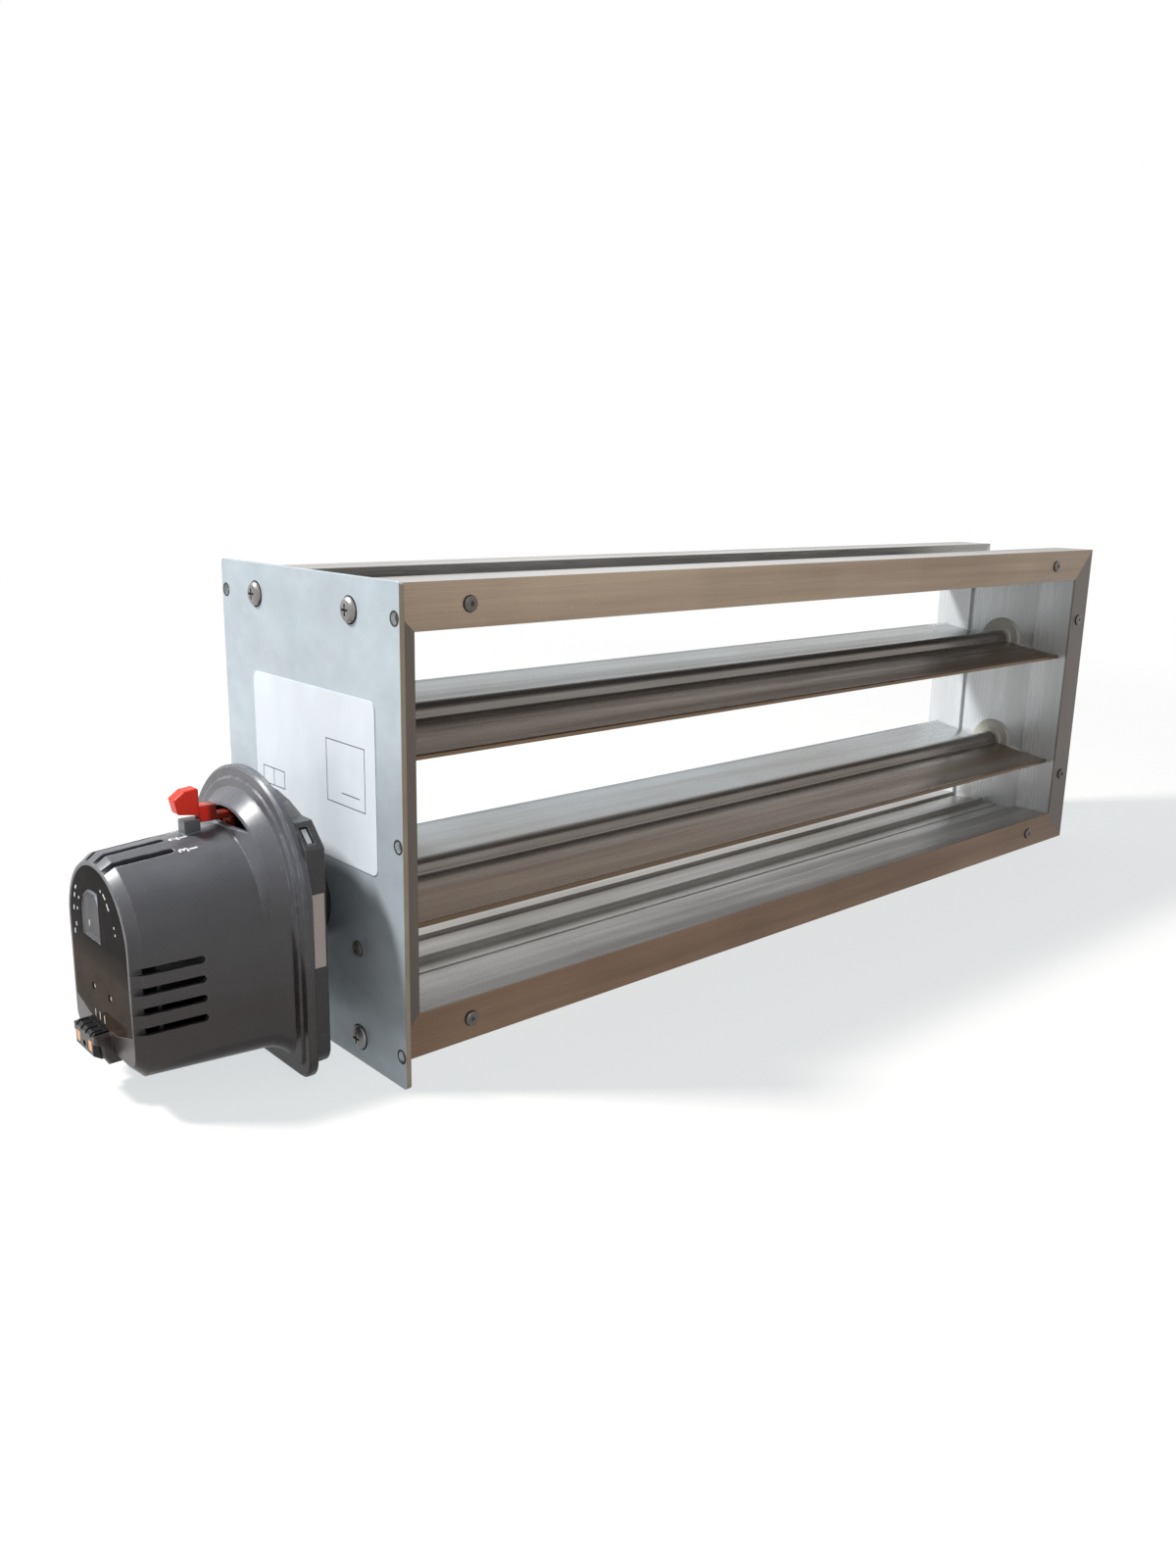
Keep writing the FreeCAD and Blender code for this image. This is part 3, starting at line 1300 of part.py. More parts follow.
def circuit_board():
    half, low = d.drum_front_radius - d.cover_wall - 1.2, d.drum_bottom - d.cover_wall - 1.5
    body = arch_plate("board_sheet", half, low, 2,
                      d.board_gauge)
    tools = [rod(d.stem_radius + 1, d.board_gauge + 2, (-1, 0, 0))]
    node(cut(body, tools), "circuit_board", (-board_reach - d.board_gauge, axis_y, low_axis))
    lights = []
    length = d.board_gap - d.board_gauge - 0.4
    for side in (-1, 1):
        body = revolved([(0, 0), (0, d.light_radius * 0.6), (0.6, d.light_radius),
                         (length - 1, d.light_radius),
                         (length - 1, d.light_radius + 0.5), (length, d.light_radius + 0.5), (length, 0)])
        y = axis_y + side * d.light_spacing / 2
        lights.append(place(body, (-d.face_reach + 0.4, y, low_axis - d.light_drop)))
    node(group("Part::Compound", lights), "status_lights")


def terminal_block():
    body = new_body("terminal_case")
    reach = nose_reach - terminal_start
    sketch = sketch_on(body, "XZ_Plane")
    high = d.terminal_height
    draw_polygon(sketch, [(0, 2), (3, 0), (reach, 0), (reach, high), (1.2, high), (0, high - 1.2)])
    half = d.terminal_half_width
    pad(body, sketch, 2 * half, True)
    tools = []
    for index in (-1, 0, 1):
        y = half + index * d.terminal_pitch
        tools.append(rod(d.terminal_bore_radius, d.terminal_depth, (-1, y, high * 0.4), "x"))
    for index in range(4):
        y = half + (index - 1.5) * d.terminal_pitch
        tools.append(box(6, 1.2, 2.4, (-1, y - 0.6, high - 2)))
    width = d.release_width + 0.4
    for side in (0, 1):
        y = 0.8 + side * (2 * half - width - 1.6)
        tools.append(box(d.release_room + 1, width, d.release_height + 0.4, (-1, y, d.release_rise)))
    low = low_axis - terminal_top - high
    node(cut(body, tools), "terminal_block", (-nose_reach, terminal_y - half, low))
    for name, side in (("right", 0), ("left", 1)):
        y = terminal_y - half + 1 + side * (2 * half - width - 1.6)
        item = box(d.release_length, d.release_width, d.release_height, (0, 0, 0))
        node(item, "terminal_release_" + name, (-nose_reach, y, low + d.release_rise + 0.2))


def gear_face(teeth, phase):
    # Involute teeth with shortened tips and a little backlash, about the origin in the YZ plane.
    module, slack = number_of(d.gear_module), number_of(d.gear_backlash)
    count = int(round(number_of(teeth)))
    pitch = module * count / 2
    base = pitch * math.cos(math.radians(20))
    tip, root = pitch + 0.75 * module, pitch - 1.1 * module
    half_tooth = math.pi / (2 * count) - slack / (2 * pitch)
    involute_at_pitch = math.tan(math.radians(20)) - math.radians(20)

    def half_angle(radius):
        pressure = math.acos(min(1, base / max(radius, base)))
        return half_tooth + involute_at_pitch - (math.tan(pressure) - pressure)

    start = max(base, root)
    flank = [start + (tip - start) * share for share in (0, 0.35, 0.7, 1)]
    outline = []
    for index in range(count):
        middle = math.radians(phase) + 2 * math.pi * index / count
        rise = [(radius, middle - half_angle(radius)) for radius in flank]
        fall = [(radius, middle + half_angle(radius)) for radius in reversed(flank)]
        spread = half_angle(start)
        outline += [(root, middle - spread)] + rise + fall + [(root, middle + spread)]
    points = [FreeCAD.Vector(0, r * math.cos(a), r * math.sin(a)) for r, a in outline]
    clean = [points[0]]
    for point in points[1:]:
        if point.distanceToPoint(clean[-1]) > 0.01:
            clean.append(point)
    return Part.Face(Part.makePolygon(clean + clean[:1]))


def tube_shape(outer, inner, x_from, x_to):
    start, along = FreeCAD.Vector(x_from, 0, 0), FreeCAD.Vector(1, 0, 0)
    solid = Part.makeCylinder(outer, x_to - x_from, start, along)
    return solid.cut(Part.makeCylinder(inner, x_to - x_from + 2, FreeCAD.Vector(x_from - 1, 0, 0), along))


def feature(label, shape, at):
    item = doc.addObject("Part::Feature", label + "_shape")
    item.Shape = shape
    return node(item, label, at)


def gear_train():
    shaft = number_of(d.shaft_radius) + number_of(d.press_fit)
    hub = number_of(d.output_hub_radius)
    rear, front = number_of(gear_rear), number_of(gear_front)
    gauge = number_of(d.gear_gauge)
    wheel = gear_face(d.output_teeth, -RIGHT_ANGLE).extrude(FreeCAD.Vector(gauge, 0, 0))
    bore = Part.makeCylinder(shaft, gauge + 2, FreeCAD.Vector(-1, 0, 0), FreeCAD.Vector(1, 0, 0))
    ring_depth = number_of(ring_front) - front
    hub_tube = tube_shape(hub, shaft, -ring_depth, gauge + 1.5)
    feature("output_gear", wheel.cut(bore).fuse(hub_tube).removeSplitter(), (-gear_front, axis_y, low_axis))

    axle = number_of(d.axle_radius) + number_of(d.running_fit)
    small_z = low_axis - first_gap
    small = gear_face(d.small_teeth, RIGHT_ANGLE + FULL_TURN / (2 * number_of(d.small_teeth)))
    large = gear_face(d.large_teeth, 0)
    large_gauge = number_of(d.large_gear_gauge)
    offset = number_of(large_front) - rear
    shape = large.extrude(FreeCAD.Vector(large_gauge, 0, 0))
    pinion = small.extrude(FreeCAD.Vector(offset, 0, 0))
    hole = Part.makeCylinder(axle, offset + 2, FreeCAD.Vector(-1, 0, 0), FreeCAD.Vector(1, 0, 0))
    shape = shape.fuse(pinion).cut(hole).removeSplitter()
    feature("intermediate_gear", shape, (-large_front, axis_y, small_z))
    axle_end = d.front_carrier + d.carrier_gauge
    node(rod(d.axle_radius, axle_end - d.rear_carrier, (0, 0, 0)), "intermediate_axle",
         (-axle_end, axis_y, small_z), (0, 1, 0), RIGHT_ANGLE)

    motor_shaft = number_of(d.axle_radius) + number_of(d.press_fit)
    phase = 2 * RIGHT_ANGLE + FULL_TURN / (2 * number_of(d.pinion_teeth))
    pinion = gear_face(d.pinion_teeth, phase).extrude(FreeCAD.Vector(large_gauge + 0.6, 0, 0))
    hole = Part.makeCylinder(motor_shaft, large_gauge + 3, FreeCAD.Vector(-1, 0, 0), FreeCAD.Vector(1, 0, 0))
    motor_y = axis_y + second_gap
    feature("motor_pinion", pinion.cut(hole), (-large_front - 0.3, motor_y, small_z))
    start = d.front_carrier + d.carrier_gauge
    node(rod(d.axle_radius, start + 6 - large_rear, (0, 0, 0)), "motor_shaft",
         (-start - 6, motor_y, small_z), (0, 1, 0), RIGHT_ANGLE)
    motor = revolved([(0, 4), (2.5, 4), (2.5, d.motor_radius - 1), (3.5, d.motor_radius),
                      (d.motor_length, d.motor_radius), (d.motor_length, d.axle_radius + d.running_fit),
                      (d.motor_length - 7, d.axle_radius + d.running_fit), (d.motor_length - 7, 0), (0, 0)])
    node(motor, "drive_motor", (-start - d.motor_length, motor_y, small_z))


def post_spots():
    return [(side * d.post_side, up) for side in (-1, 1) for up in (d.post_top, -d.post_bottom)]


def carriers():
    small_drop = first_gap
    specs = (("rear_carrier_plate", d.rear_carrier), ("front_carrier_plate", d.front_carrier))
    for label, reach in specs:
        body = arch_plate(label + "_sheet", d.carrier_radius, d.carrier_bottom, 4, d.carrier_gauge)
        centre = d.output_hub_radius + 0.6 if "rear" in label else d.stem_radius + 1.5
        tools = [rod(centre, d.carrier_gauge + 2, (-1, 0, 0)),
                 rod(d.axle_radius + d.press_fit, d.carrier_gauge + 2, (-1, 0, -small_drop))]
        if "front" in label:
            tools.append(rod(d.axle_radius + 0.6, d.carrier_gauge + 2, (-1, second_gap, -small_drop)))
        for y, z in post_spots():
            tools.append(rod(1.2, d.carrier_gauge + 2, (-1, y, z)))
        node(cut(body, tools), label, (-reach - d.carrier_gauge, axis_y, low_axis))
    posts = []
    gap = d.front_carrier - d.rear_carrier - d.carrier_gauge
    back = d.rear_carrier - base_back - d.base_wall
    for y, z in post_spots():
        long_post = rod(d.post_radius, gap, (-d.front_carrier, axis_y + y, low_axis + z))
        short_post = rod(d.post_radius, back, (-d.rear_carrier, axis_y + y, low_axis + z))
        core = rod(1.15, d.carrier_gauge, (-d.rear_carrier - d.carrier_gauge, axis_y + y, low_axis + z))
        posts.append(fuse([long_post, short_post, core]))
    node(group("Part::Compound", posts), "carrier_posts")
    start = d.front_carrier + d.carrier_gauge
    posts = []
    high = (d.board_post_high_side, d.board_post_high)
    low = (d.board_post_low_side, -d.board_post_low)
    for side in (-1, 1):
        for across, up in (high, low):
            spot = (-board_reach, axis_y + side * across, low_axis + up)
            posts.append(rod(d.board_post_radius, board_reach - start, spot))
    node(group("Part::Compound", posts), "board_posts")


def range_lever():
    # A ring on the output hub with an arm and a stem that end in the finger knob outside.
    rear, front = number_of(ring_rear), number_of(ring_front)
    inner = number_of(d.output_hub_radius) + number_of(d.running_fit)
    ring = tube_shape(number_of(d.lever_ring_radius), inner, -front, -rear)
    wide, slim = number_of(d.lever_arm_half_width), number_of(d.lever_stem_half_width)
    low, high = number_of(d.lever_stem_low), number_of(d.lever_stem_high)
    knob_rear, reach = number_of(d.lever_rear), number_of(d.lever_reach)
    arm = block((-front, -rear), (-wide, wide), (inner + 2, high - 1.5))
    bottom, top = number_of(d.knob_low), number_of(d.knob_high)
    neck, end, under, over = -number_of(d.dish_reach) - 2, -knob_rear + 0.4, bottom + 0.3, bottom + 3.4
    stem = side_prism([(-rear, low), (-rear, high), (neck, high), (neck, over), (-knob_rear - 1, over),
                       (-knob_rear - 1, under), (end, under), (end, low)], -slim, slim)
    rise, slope, slant = number_of(d.knob_rise), number_of(d.knob_slope), number_of(d.knob_slope_length)
    half, corner = number_of(d.knob_half_width), number_of(d.knob_corner)
    knob = side_prism([(-reach + rise, bottom + rise), (-knob_rear, bottom), (-knob_rear, top),
                       (-reach + slant, top - 0.6), (-reach, top - slope)], -half, half)
    knob = knob.makeFillet(corner, [edge for edge in knob.Edges if runs_along(edge, "y")])
    near = [edge for edge in knob.Edges if abs(edge.CenterOfMass.y) > half - 0.01]
    knob = knob.makeFillet(corner * 0.6, near)
    item = doc.addObject("Part::Feature", "lever_shape")
    item.Shape = ring.fuse([arm, stem, knob]).removeSplitter()
    node(item, "range_stop_lever", (0, axis_y, low_axis))


def switches():
    items = []
    start = d.front_carrier + d.carrier_gauge
    length, width = d.switch_length, d.switch_width
    for side in (-1, 1):
        y = axis_y + side * d.switch_side - width / 2
        items.append(box(length, width, d.switch_height, (-start - length, y, low_axis - d.switch_drop)))
    node(group("Part::Compound", items), "limit_switches")
    bore, gauge = d.stem_radius + d.press_fit, d.cam_gauge
    cam = revolved([(0, bore), (gauge, bore), (gauge, d.cam_radius), (0, d.cam_radius)])
    flat = box(gauge + 2, 2 * d.cam_radius + 2, d.cam_radius, (-1, -d.cam_radius - 1, d.cam_flat))
    node(cut(cam, [flat]), "limit_cam", (-start - d.cam_gap - gauge, axis_y, low_axis))


def check_document():
    doc.recompute()
    for item in doc.Objects:
        if "Invalid" in item.State or "Error" in item.State:
            raise RuntimeError("%s (%s) failed: %s" % (item.Name, item.Label, item.State))
    for item in nodes:
        if item.Shape.isNull() or not item.Shape.isValid():
            raise RuntimeError("%s has no valid shape" % item.Label)
        if not item.Shape.Solids:
            raise RuntimeError("%s has no solid" % item.Label)


def write_parts():
    os.makedirs(STEP_FOLDER, exist_ok=True)
    for item in nodes:
        item.Shape.exportStep("%s/%s.step" % (STEP_FOLDER, item.Label))
        print("%-24s %2d solid(s)" % (item.Label, len(item.Shape.Solids)))


frame()
blade_stops()
corner_keys()
frame_rivets()
mounting_plate()
plate_fasteners()
rating_label()
bearings()
blade("lower_blade", low_axis)
blade("upper_blade", high_axis)
axles()
for level, where in (("lower", low_axis), ("upper", high_axis)):
    crank(level + "_crank", where)
    crank_screw(level + "_crank_screw", where)
    link_pin(level + "_link_pin", where)
link_bar()
mount_collar()
collar_screws()
actuator_base()
sticker()
actuator_cover()
cover_screws()
face_panel()
indicator()
circuit_board()
terminal_block()
gear_train()
carriers()
range_lever()
switches()
check_document()
write_parts()
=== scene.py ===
import bpy
import bmesh
import math
from mathutils import Matrix, Vector


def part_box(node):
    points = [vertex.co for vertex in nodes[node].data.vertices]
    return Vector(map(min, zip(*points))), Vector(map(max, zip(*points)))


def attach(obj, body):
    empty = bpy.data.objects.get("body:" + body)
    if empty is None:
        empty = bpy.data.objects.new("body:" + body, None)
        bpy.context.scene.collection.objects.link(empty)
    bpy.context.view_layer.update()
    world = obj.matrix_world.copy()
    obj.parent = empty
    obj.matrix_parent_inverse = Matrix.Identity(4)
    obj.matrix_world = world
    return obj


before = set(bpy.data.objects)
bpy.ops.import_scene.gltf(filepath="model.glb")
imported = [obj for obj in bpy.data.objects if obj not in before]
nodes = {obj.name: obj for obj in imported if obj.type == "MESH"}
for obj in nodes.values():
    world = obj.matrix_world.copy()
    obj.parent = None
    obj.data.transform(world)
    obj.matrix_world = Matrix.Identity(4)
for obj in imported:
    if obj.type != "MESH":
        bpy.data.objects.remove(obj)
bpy.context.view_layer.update()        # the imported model, in metres: +X along the blades, +Y along the airflow, +Z up
mm = 0.001
print("frame loaded with", len(nodes), "nodes")

# places that several pieces share, read from the frame
stemLow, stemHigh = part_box("indicator_stem")
shaftLine = (stemLow + stemHigh) / 2        # the actuator's shaft runs along X through this point
plateLow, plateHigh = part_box("mounting_plate")
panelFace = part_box("face_panel")[0].x
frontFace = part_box("bottom_rail")[0].y


# camera, set from the photograph's own perspective
cameraView = {
    "at": (-0.47552, -0.44601, 0.23627),
    "heading": 41.971,        # degrees from +Y towards +X
    "dip": 13.938,        # degrees below the horizon
    "roll": 1.181,
    "lens": 28.46,
    "sensor": 36,
    "nearest": 0.01,        # what is closer than this, in metres, is not seen
}


def makeCamera(view):
    heading, dip, roll = (math.radians(view[key]) for key in ("heading", "dip", "roll"))
    ahead = Vector((math.cos(dip) * math.sin(heading), math.cos(dip) * math.cos(heading), -math.sin(dip)))
    level = Vector((math.cos(heading), -math.sin(heading), 0))
    above = level.cross(ahead)
    right = math.cos(roll) * level + math.sin(roll) * above
    up = math.cos(roll) * above - math.sin(roll) * level
    turn = Matrix((right, up, -ahead)).transposed()
    camera = bpy.data.objects.new("camera", bpy.data.cameras.new("camera"))
    camera.data.sensor_width = view["sensor"]
    camera.data.lens = view["lens"]
    camera.data.clip_start = view["nearest"]
    camera.matrix_world = Matrix.Translation(view["at"]) @ turn.to_4x4()
    bpy.context.scene.collection.objects.link(camera)
    bpy.context.scene.camera = camera


makeCamera(cameraView)
print("camera set")


# small helpers for node trees: each takes sockets or plain numbers and gives back an output socket
def linkNodes(tree, *pairs):
    for source, target in pairs:
        tree.links.new(source, target)


def feed(tree, target, value):
    if isinstance(value, bpy.types.NodeSocket):
        tree.links.new(value, target)
    else:
        target.default_value = value


def addMath(tree, operation, first, second=0.0):
    node = tree.nodes.new("ShaderNodeMath")
    node.operation = operation
    feed(tree, node.inputs[0], first)
    feed(tree, node.inputs[1], second)
    return node.outputs[0]


def addRange(tree, value, fromLow, fromHigh, toLow=0.0, toHigh=1.0):
    node = tree.nodes.new("ShaderNodeMapRange")
    for label, number in (("Value", value), ("From Min", fromLow), ("From Max", fromHigh),
                          ("To Min", toLow), ("To Max", toHigh)):
        feed(tree, node.inputs[label], number)
    return node.outputs[0]


def addBlend(tree, share, first, second, kind="MIX"):
    node = tree.nodes.new("ShaderNodeMix")
    node.data_type = "RGBA"
    node.blend_type = kind
    feed(tree, node.inputs["Factor"], share)
    for label, value in (("A", first), ("B", second)):
        socket = [one for one in node.inputs if one.name == label and one.type == "RGBA"][0]
        feed(tree, socket, value if isinstance(value, bpy.types.NodeSocket) else (*value, 1.0))
    return [one for one in node.outputs if one.type == "RGBA"][0]


def addNoise(tree, place, scale, detail=3.0, rough=0.55):
    node = tree.nodes.new("ShaderNodeTexNoise")
    linkNodes(tree, (place, node.inputs["Vector"]))
    feed(tree, node.inputs["Scale"], scale)
    node.inputs["Detail"].default_value = detail
    node.inputs["Roughness"].default_value = rough
    return node.outputs["Fac"]


def addStretch(tree, place, stretch):
    node = tree.nodes.new("ShaderNodeVectorMath")
    node.operation = "MULTIPLY"
    linkNodes(tree, (place, node.inputs[0]))
    feed(tree, node.inputs[1], stretch)
    return node.outputs[0]


def objectPlace(tree):
    return tree.nodes.new("ShaderNodeTexCoord").outputs["Object"]


def splitVector(tree, vector):
    node = tree.nodes.new("ShaderNodeSeparateXYZ")
    linkNodes(tree, (vector, node.inputs[0]))
    return node.outputs


def addBump(tree, surface, height, normal, strength, depth):
    bump = tree.nodes.new("ShaderNodeBump")
    bump.inputs["Strength"].default_value = strength
    bump.inputs["Distance"].default_value = depth
    linkNodes(tree, (height, bump.inputs["Height"]), (normal, bump.inputs["Normal"]),
              (bump.outputs[0], surface.inputs["Normal"]))


def newGroup(name, inputs, outputs):
    group = bpy.data.node_groups.new(name, "ShaderNodeTree")
    for label, kind, value in inputs:
        socket = group.interface.new_socket(label, in_out="INPUT", socket_type="NodeSocket" + kind)
        socket.default_value = value
    for label, kind in outputs:
        group.interface.new_socket(label, in_out="OUTPUT", socket_type="NodeSocket" + kind)
    return group, group.nodes.new("NodeGroupInput").outputs, group.nodes.new("NodeGroupOutput").inputs


def placeGroup(tree, group, values):
    node = tree.nodes.new("ShaderNodeGroup")
    node.node_tree = group
    for label, value in values.items():
        feed(tree, node.inputs[label], value)
    return node.outputs


# edges rubbed bare and painted edge highlights, broken up by patches, and the normal of softly rounded edges
edgeValues = {
    "samples": 4,
    "turned": (0.01, 0.22),        # how far the rounded normal is turned where the edge wear and painted highlight start and are full
    "patchDetail": 4.0,
    "patched": (0.38, 0.62),        # values of the patch noise at which the edge wear and painted highlight start and are full
}


def makeEdgeGroup(values):
    group, given, result = newGroup(
        "edgeWearAndSheen",
        [("Radius", "Float", 0.0005), ("Amount", "Float", 0.5), ("Patches", "Float", 220.0)],
        [("WearAndSheen", "Float"), ("Normal", "Vector")])
    bevel = group.nodes.new("ShaderNodeBevel")
    bevel.samples = values["samples"]
    flat = group.nodes.new("ShaderNodeNewGeometry")
    compare = group.nodes.new("ShaderNodeVectorMath")
    compare.operation = "DOT_PRODUCT"
    linkNodes(group, (given["Radius"], bevel.inputs["Radius"]), (bevel.outputs[0], compare.inputs[0]),
              (flat.outputs["Normal"], compare.inputs[1]), (bevel.outputs[0], result["Normal"]))
    turned = addMath(group, "SUBTRACT", 1.0, compare.outputs["Value"])
    edge = addRange(group, turned, *values["turned"])
    noise = addNoise(group, objectPlace(group), given["Patches"], values["patchDetail"])
    worn = addMath(group, "MULTIPLY", edge, addRange(group, noise, *values["patched"]))
    linkNodes(group, (addMath(group, "MULTIPLY", worn, given["Amount"]), result["WearAndSheen"]))
    return group


# streaks left by drawing or rolling: long in one direction, very fine across it; and slow bands along X, partly uneven
# tone and partly painted reflection
drawnValues = {
    "streakNoise": (5.0, 0.7),        # detail and roughness of the noise, here and in the groups below
    "streaks": (0.3, 0.7),
    "streakHeight": 0.7,
    "bandStretch": (1.0, 0.25, 0.25),
    "bandNoise": (2.0, 0.4),
    "bands": (0.4, 0.6),
}


def makeDrawnGroup(values):
    group, given, result = newGroup(
        "drawnGrain",
        [("Stretch", "Vector", (0.02, 1.0, 1.0)), ("Scale", "Float", 2500.0), ("Patches", "Float", 11.0)],
        [("Streak", "Float"), ("ToneAndReflectionBand", "Float"), ("Height", "Float")])
    along = addStretch(group, objectPlace(group), given["Stretch"])
    fine = addNoise(group, along, given["Scale"], *values["streakNoise"])
    across = addStretch(group, objectPlace(group), values["bandStretch"])
    band = addNoise(group, across, given["Patches"], *values["bandNoise"])
    linkNodes(group, (addRange(group, fine, *values["streaks"]), result["Streak"]),
              (addRange(group, band, *values["bands"]), result["ToneAndReflectionBand"]),
              (addMath(group, "MULTIPLY_ADD", fine, values["streakHeight"]), result["Height"]))
    return group


# the even fine grain of a moulded surface, with a slow waviness under it
mouldedValues = {"waveDetail": 2.0, "waves": (0.35, 0.65), "waveHeight": 1.5}


def makeMouldedGroup(values):
    group, given, result = newGroup(
        "mouldedGrain",
        [("Scale", "Float", 2200.0), ("Wave", "Float", 45.0)],
        [("Grain", "Float"), ("Wave", "Float"), ("Height", "Float")])
    place = objectPlace(group)
    cells = group.nodes.new("ShaderNodeTexVoronoi")
    cells.feature = "SMOOTH_F1"
    linkNodes(group, (place, cells.inputs["Vector"]), (given["Scale"], cells.inputs["Scale"]))
    grain, slow = cells.outputs["Distance"], addNoise(group, place, given["Wave"], values["waveDetail"])
    joined = addMath(group, "ADD", grain, addMath(group, "MULTIPLY", slow, values["waveHeight"]))
    linkNodes(group, (grain, result["Grain"]), (addRange(group, slow, *values["waves"]), result["Wave"]),
              (joined, result["Height"]))
    return group


# dust that settles on what faces up, and the smears and small marks of handling
handlingValues = {        # each size times the group's Scale is the scale of that noise
    "upward": (-0.2, 0.95, 0.12, 1.0),        # the dust's share rises with the upward part of the normal
    "speckSize": 30.0, "speckNoise": (6.0, 0.75), "specks": (0.52, 0.74),
    "cloudDetail": 4.0, "clouds": (0.4, 0.68), "cloudShare": 0.5,
    "smearSize": 0.55, "smearNoise": (5.0, 0.65), "smears": (0.42, 0.66),
    "nickSize": 12.0, "nickStretch": (1.0, 1.0, 0.25), "nickNoise": (3.0, 0.6), "nicks": (0.66, 0.74),
}


def makeHandlingGroup(values):
    group, given, result = newGroup(
        "handling",
        [("Dust", "Float", 0.3), ("Marks", "Float", 0.3), ("Scale", "Float", 60.0),
         ("Stretch", "Vector", (0.6, 1.0, 1.7))],
        [("Dust", "Float"), ("Smear", "Float"), ("Scratch", "Float")])
    place = objectPlace(group)
    speckSize, smearSize, nickSize = [addMath(group, "MULTIPLY", given["Scale"], values[key])
                                      for key in ("speckSize", "smearSize", "nickSize")]
    normal = splitVector(group, group.nodes.new("ShaderNodeNewGeometry").outputs["Normal"])
    upward = addRange(group, normal["Z"], *values["upward"])
    specks = addRange(group, addNoise(group, place, speckSize, *values["speckNoise"]), *values["specks"])
    clouded = addNoise(group, place, given["Scale"], values["cloudDetail"])
    cloud = addMath(group, "MULTIPLY", addRange(group, clouded, *values["clouds"]), values["cloudShare"])
    dusty = addMath(group, "MULTIPLY", upward, addMath(group, "MAXIMUM", cloud, specks))
    smeared = addNoise(group, addStretch(group, place, given["Stretch"]), smearSize, *values["smearNoise"])
    smear = addRange(group, smeared, *values["smears"])
    nicked = addNoise(group, addStretch(group, place, values["nickStretch"]), nickSize, *values["nickNoise"])
    scratch = addMath(group, "MULTIPLY", addRange(group, nicked, *values["nicks"]), smear)
    for label, value, share in (("Dust", dusty, given["Dust"]), ("Smear", smear, given["Marks"]),
                                ("Scratch", scratch, given["Marks"])):
        linkNodes(group, (addMath(group, "MULTIPLY", value, share), result[label]))
    return group


# the faint crystals of a zinc coat
zincValues = {"wobbleScale": 160.0, "wobbleReach": (0.012, 0.012, 0.012), "cloudScale": 14.0}


def makeZincGroup(values):
    group, given, result = newGroup("zincBloom", [("Scale", "Float", 90.0)],
                                    [("Crystal", "Float"), ("Cloud", "Float")])
    place = objectPlace(group)
    wobble = group.nodes.new("ShaderNodeTexNoise")
    wobble.inputs["Scale"].default_value = values["wobbleScale"]
    linkNodes(group, (place, wobble.inputs["Vector"]))
    moved = group.nodes.new("ShaderNodeVectorMath")
    moved.operation = "MULTIPLY_ADD"
    moved.inputs[1].default_value = values["wobbleReach"]
    linkNodes(group, (wobble.outputs["Color"], moved.inputs[0]), (place, moved.inputs[2]))
    cells = group.nodes.new("ShaderNodeTexVoronoi")
    linkNodes(group, (moved.outputs[0], cells.inputs["Vector"]), (given["Scale"], cells.inputs["Scale"]))
    linkNodes(group, (splitVector(group, cells.outputs["Color"])["X"], result["Crystal"]),
              (addNoise(group, place, values["cloudScale"]), result["Cloud"]))
    return group


edgeGroup = makeEdgeGroup(edgeValues)
drawnGroup = makeDrawnGroup(drawnValues)
mouldedGroup = makeMouldedGroup(mouldedValues)
handlingGroup = makeHandlingGroup(handlingValues)
zincGroup = makeZincGroup(zincValues)
print("shader groups built")


def startMaterial(name, look):
    material = bpy.data.materials.new(name)
    material.use_nodes = True
    surface = material.node_tree.nodes["Principled BSDF"]
    surface.inputs["Metallic"].default_value = look.get("metallic", 0.0)
    surface.inputs["IOR"].default_value = look.get("ior", 1.5)
    surface.inputs["Coat Roughness"].default_value = look.get("coatRoughness", 0.1)
    surface.inputs["Coat Weight"].default_value = look.get("coat", 0.0)
    surface.inputs["Specular IOR Level"].default_value = look.get("specular", 0.5)
    return material, material.node_tree, surface


